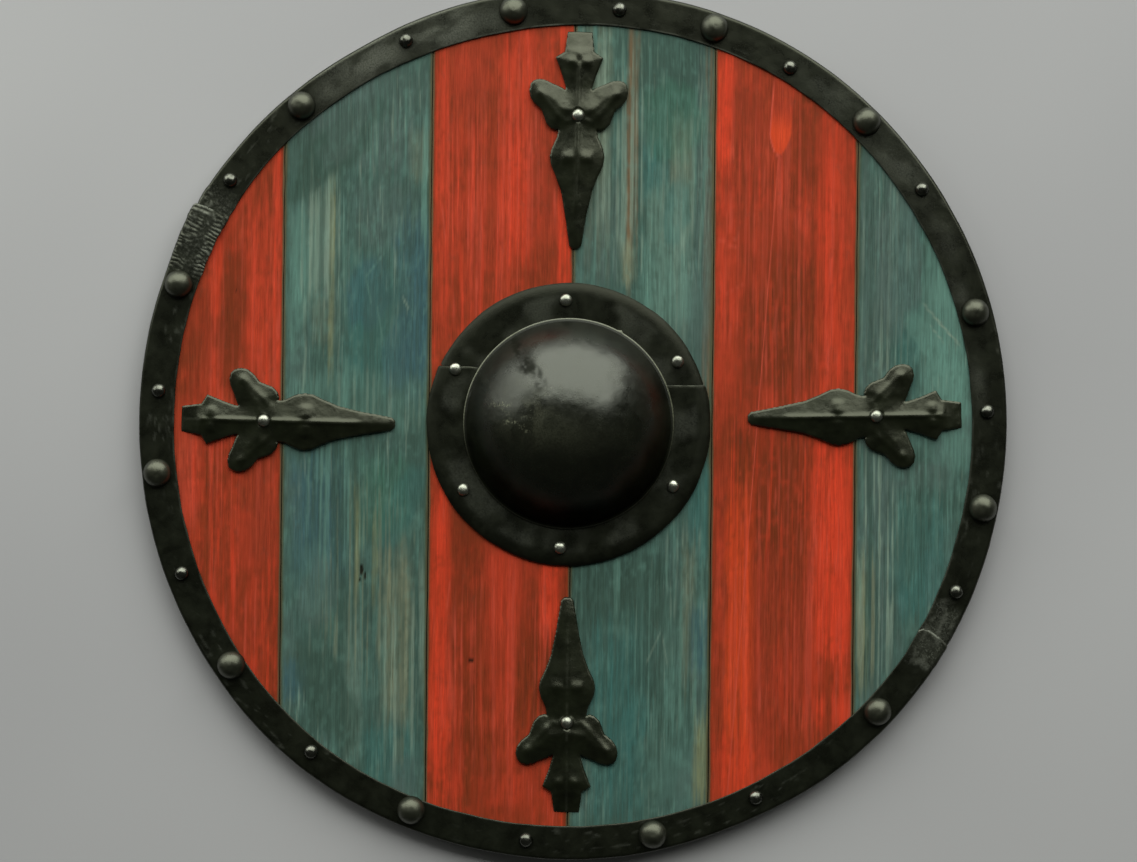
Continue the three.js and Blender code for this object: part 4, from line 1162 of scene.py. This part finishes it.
# The knobs either side of the spine: how far along, half width, height, and from where to where each side.
KNOBS = [(63.0, 3.9, 0.85, 2.2, 11.0), (130.2, 3.4, 0.8, 1.6, 8.4)]
RIVET_SEAT = 4.9  # height of the face under the rivet's head


def margin_of(along, across, rows):
    """How far inside an outline of straight-sided rows each point is, roughly."""
    at = [row[0] for row in rows]
    left = np.interp(along, at, [row[1] for row in rows])
    right = np.interp(along, at, [row[-1] for row in rows])
    width = np.where(across > 0, left, right)
    return np.minimum(width - np.abs(across), np.minimum(along - at[0] + 0.01, at[-1] - along))


def strap_margin(s, t):
    """The same for a whole strap: a blade and two leaves swept back from it."""
    margin = margin_of(s, t, BLADE)
    for side in (1, -1):
        along, across = along_and_across(s, side * t, *LEAF_ROOT, LEAF_ANGLE)
        margin = np.maximum(margin, margin_of(along, across, LEAF))
    return margin


def distance_inside(field, xs, ys):
    """How far each point of a grid is from where the field crosses 0, and 0 outside."""
    x, y = np.meshgrid(xs, ys, indexing="ij")
    edge = []
    for axis in (0, 1):
        f0, f1 = (field[:-1], field[1:]) if axis == 0 else (field[:, :-1], field[:, 1:])
        at = np.nonzero((f0 > 0) != (f1 > 0))
        share = f0[at] / (f0[at] - f1[at])
        ahead = (at[0] + (axis == 0), at[1] + (axis == 1))
        edge.append(np.column_stack([of[at] + share * (of[ahead] - of[at]) for of in (x, y)]))
    edge = np.vstack(edge)
    away = np.zeros_like(field)
    for row in range(len(xs)):
        solid = field[row] > 0
        if solid.any():
            here = np.column_stack([x[row, solid], y[row, solid]])
            away[row, solid] = np.sqrt(((here[:, None, :] - edge[None, :, :]) ** 2).sum(-1)).min(1)
    return away


def blurred(grid, reach, step):
    """The grid smoothed by a bell curve of the given reach."""
    half = int(math.ceil(2.5 * reach / step))
    weights = np.exp(-((np.arange(-half, half + 1) * step / reach) ** 2))
    weights /= weights.sum()

    def smoothed(line):
        return np.convolve(np.pad(line, half, mode="edge"), weights, "valid")

    for axis in (0, 1):
        grid = np.apply_along_axis(smoothed, axis, grid)
    return grid


def looked_up(grid, xs, ys, x, y):
    """The grid's value at any points, straight between its own."""
    i = np.clip((x - xs[0]) / (xs[1] - xs[0]), 0, len(xs) - 1.001)
    j = np.clip((y - ys[0]) / (ys[1] - ys[0]), 0, len(ys) - 1.001)
    i0, j0 = np.floor(i).astype(int), np.floor(j).astype(int)
    fi, fj = i - i0, j - j0
    return ((grid[i0, j0] * (1 - fi) + grid[i0 + 1, j0] * fi) * (1 - fj)
            + (grid[i0, j0 + 1] * (1 - fi) + grid[i0 + 1, j0 + 1] * fi) * fj)


def off_leaf_spine(s, t):
    """Distance from the line out along the nearer leaf."""
    pairs = zip(LEAF_SPINE_ROUTE, LEAF_SPINE_ROUTE[1:])
    return np.minimum.reduce([off_line(s, np.abs(t), start, end) for start, end in pairs])


def strap_height(s, t, inside):
    """Height of the strap's face: a low roof over its outline, spines, pairs of knobs and a sloping end."""
    reach = np.abs(t)
    height = STRAP_EDGE + 0.35 + STRAP_ROOF * inside * (1 - 0.75 * ramp(s, 136, 141))
    spine = BLADE_SPINE[0] * np.exp(-((t / BLADE_SPINE[1]) ** 2)) * ramp(s, 18, 36) * ramp(s, 139, 133)
    for where, width, _, _, _ in KNOBS:
        spine = spine * (1 - 0.7 * np.exp(-(((s - where) / width) ** 2)))
    leaf = LEAF_SPINE[0] * np.exp(-((off_leaf_spine(s, t) / LEAF_SPINE[1]) ** 2))
    height = height + np.maximum(spine, leaf)
    for where, width, rise, start, end in KNOBS:
        knob = rise * np.exp(-(((s - where) / width) ** 2)) * ramp(reach, start - 1, start + 2.5)
        height = height + knob * ramp(reach, end + 2, end - 2)
    leaf_s, leaf_t = LEAF_SPINE_ROUTE[-1]
    height = height + 0.3 * np.exp(-((np.hypot(s - leaf_s, reach - leaf_t) / 3.0) ** 2))
    return height - 0.17 * np.clip(s - 138.5, 0, 13) - 0.9 * ramp(s, 14, 0)


def add_strap(side):
    spec = STRAPS[side]
    seed = 70 + 5 * list(STRAPS).index(side)
    stretch, breadth = spec["length"] / STRAP_LENGTH, spec["breadth"]
    along = np.arange(-3 * STRAP_STEP, spec["length"] + 4 * STRAP_STEP, STRAP_STEP)
    across = np.arange(-56, 57) * STRAP_STEP

    def inside(s, t):
        return strap_margin(s / stretch, t / breadth) + 0.25 * fbm(s / 9, t / 9, seed, 2)

    s, t = np.meshgrid(along, across, indexing="ij")
    margins = distance_inside(inside(s, t), along, across)
    roof = strap_height(s / stretch, t / breadth, blurred(margins, 1.1, STRAP_STEP))
    face = blurred(roof, 0.7, STRAP_STEP)

    def top(s, t):
        off_rivet = np.hypot(s - spec["rivet"], t)
        height = looked_up(face, along, across, s, t) - 0.8 * np.exp(-((off_rivet / 8) ** 2))
        seat = ramp(off_rivet, 5.8, 4.2)
        height = height * (1 - seat) + RIVET_SEAT * seat
        height = height + 0.14 * fbm(s / 8, t / 8, seed + 1, 3) + 0.05 * fbm(s / 2.5, t / 2.5, seed + 2, 2)
        soft = np.clip(1 - looked_up(margins, along, across, s, t) / STRAP_ROUND, 0, 1)
        return height - STRAP_ROUND * (1 - np.sqrt(1 - 0.98 * soft**2))

    def wear_and_highlight(s, t):
        rubbed = ramp(fbm(s / 6, t / 6, seed + 3, 2), -0.5, 0.3)
        crest = ramp(np.abs(t), 1.2, 0.3) * ramp(s, 20, 36)
        edge = ramp(looked_up(margins, along, across, s, t), 1.3, 0.4)
        return np.clip(0.12 * crest * rubbed + 0.12 * edge * rubbed, 0, 1)

    turn = math.radians(spec["angle"])
    tip = spec["tip"]

    def place(points):
        s, t, z = points[:, 0], points[:, 1], points[:, 2]
        return np.column_stack([tip[0] + s * math.cos(turn) - t * math.sin(turn),
                                tip[1] + s * math.sin(turn) + t * math.cos(turn), z + STRAP_SEAT])

    piece = plate(f"forged_strap_{side}", inside, top, lambda s, t: 0 * s, along, across, [STRAP_IRON],
                  sharp=50, tones={"wear_and_highlight": wear_and_highlight}, place=place)
    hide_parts(f"strap_{side}")


# ---- Grip ----------------------------------------------------------------------------------------------

# Each row along the grip: distance from the middle, width, thickness, how round the section is.
GRIP_ROWS = [(0, 27.5, 19.6, 1.0), (18, 28, 20, 1.0), (36, 27.5, 19.8, 0.95), (45, 27, 18.6, 0.8),
             (51, 27, 15.5, 0.6), (55, 27.6, 10.5, 0.35), (58, 28, 6.6, 0.15), (62, 28, 6, 0.08),
             (104.6, 28, 6, 0.08)]


def add_grip():
    reach, width, thick, roundness = (np.array(column, float) for column in zip(*GRIP_ROWS))
    y = np.concatenate([np.linspace(-104.6, -60, 10), np.linspace(-58, 58, 59), np.linspace(60, 104.6, 10)])
    away = np.abs(y)
    half = np.interp(away, reach, width)[:, None] / 2
    tall = np.interp(away, reach, thick)[:, None]
    soft = np.interp(away, reach, roundness)[:, None]
    turn = np.linspace(-math.pi, math.pi, 40, endpoint=False)[None, :]
    power = 0.12 + 0.55 * soft
    across = np.sign(np.cos(turn)) * np.abs(np.cos(turn)) ** power
    up = np.sign(np.sin(turn)) * np.abs(np.sin(turn)) ** power
    x = BOSS_X + half * across * (1 + 0.012 * fbm(turn * 2, y[:, None] / 20, 91, 2))
    z = BOARD_BACK + tall / 2 * (1 + up)
    points = np.stack([x, np.broadcast_to((y + BOSS_Y)[:, None], x.shape), z], -1)
    count = turn.size
    faces = grid_faces(len(y), count, wrap=True).tolist()
    faces += [list(range(count)), [(len(y) - 1) * count + c for c in range(count)]]
    piece = finish_mesh("shaped_grip", points.reshape(-1, 3), faces, [GRIP_WOOD], sharp=50)
    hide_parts("grip")


add_camera()
add_stage()
for plank in range(1, 7):
    add_plank(plank)
add_rim_half("folded_rim_upper_right", "rim_upper_right", JOINT_RIGHT, JOINT_LEFT, JOINT_SWELL_UNDER,
             over=False)
add_rim_half("folded_rim_lower_left", "rim_lower_left", JOINT_LEFT, JOINT_RIGHT + 360, JOINT_SWELL_OVER,
             over=True)
add_heads()
add_collar("collar_plate_upper", "boss_collar_upper", *COLLAR_UPPER, upper=True)
add_collar("collar_plate_lower", "boss_collar_lower", *COLLAR_LOWER, upper=False)
add_dome()
for strap in STRAPS:
    add_strap(strap)
add_grip()
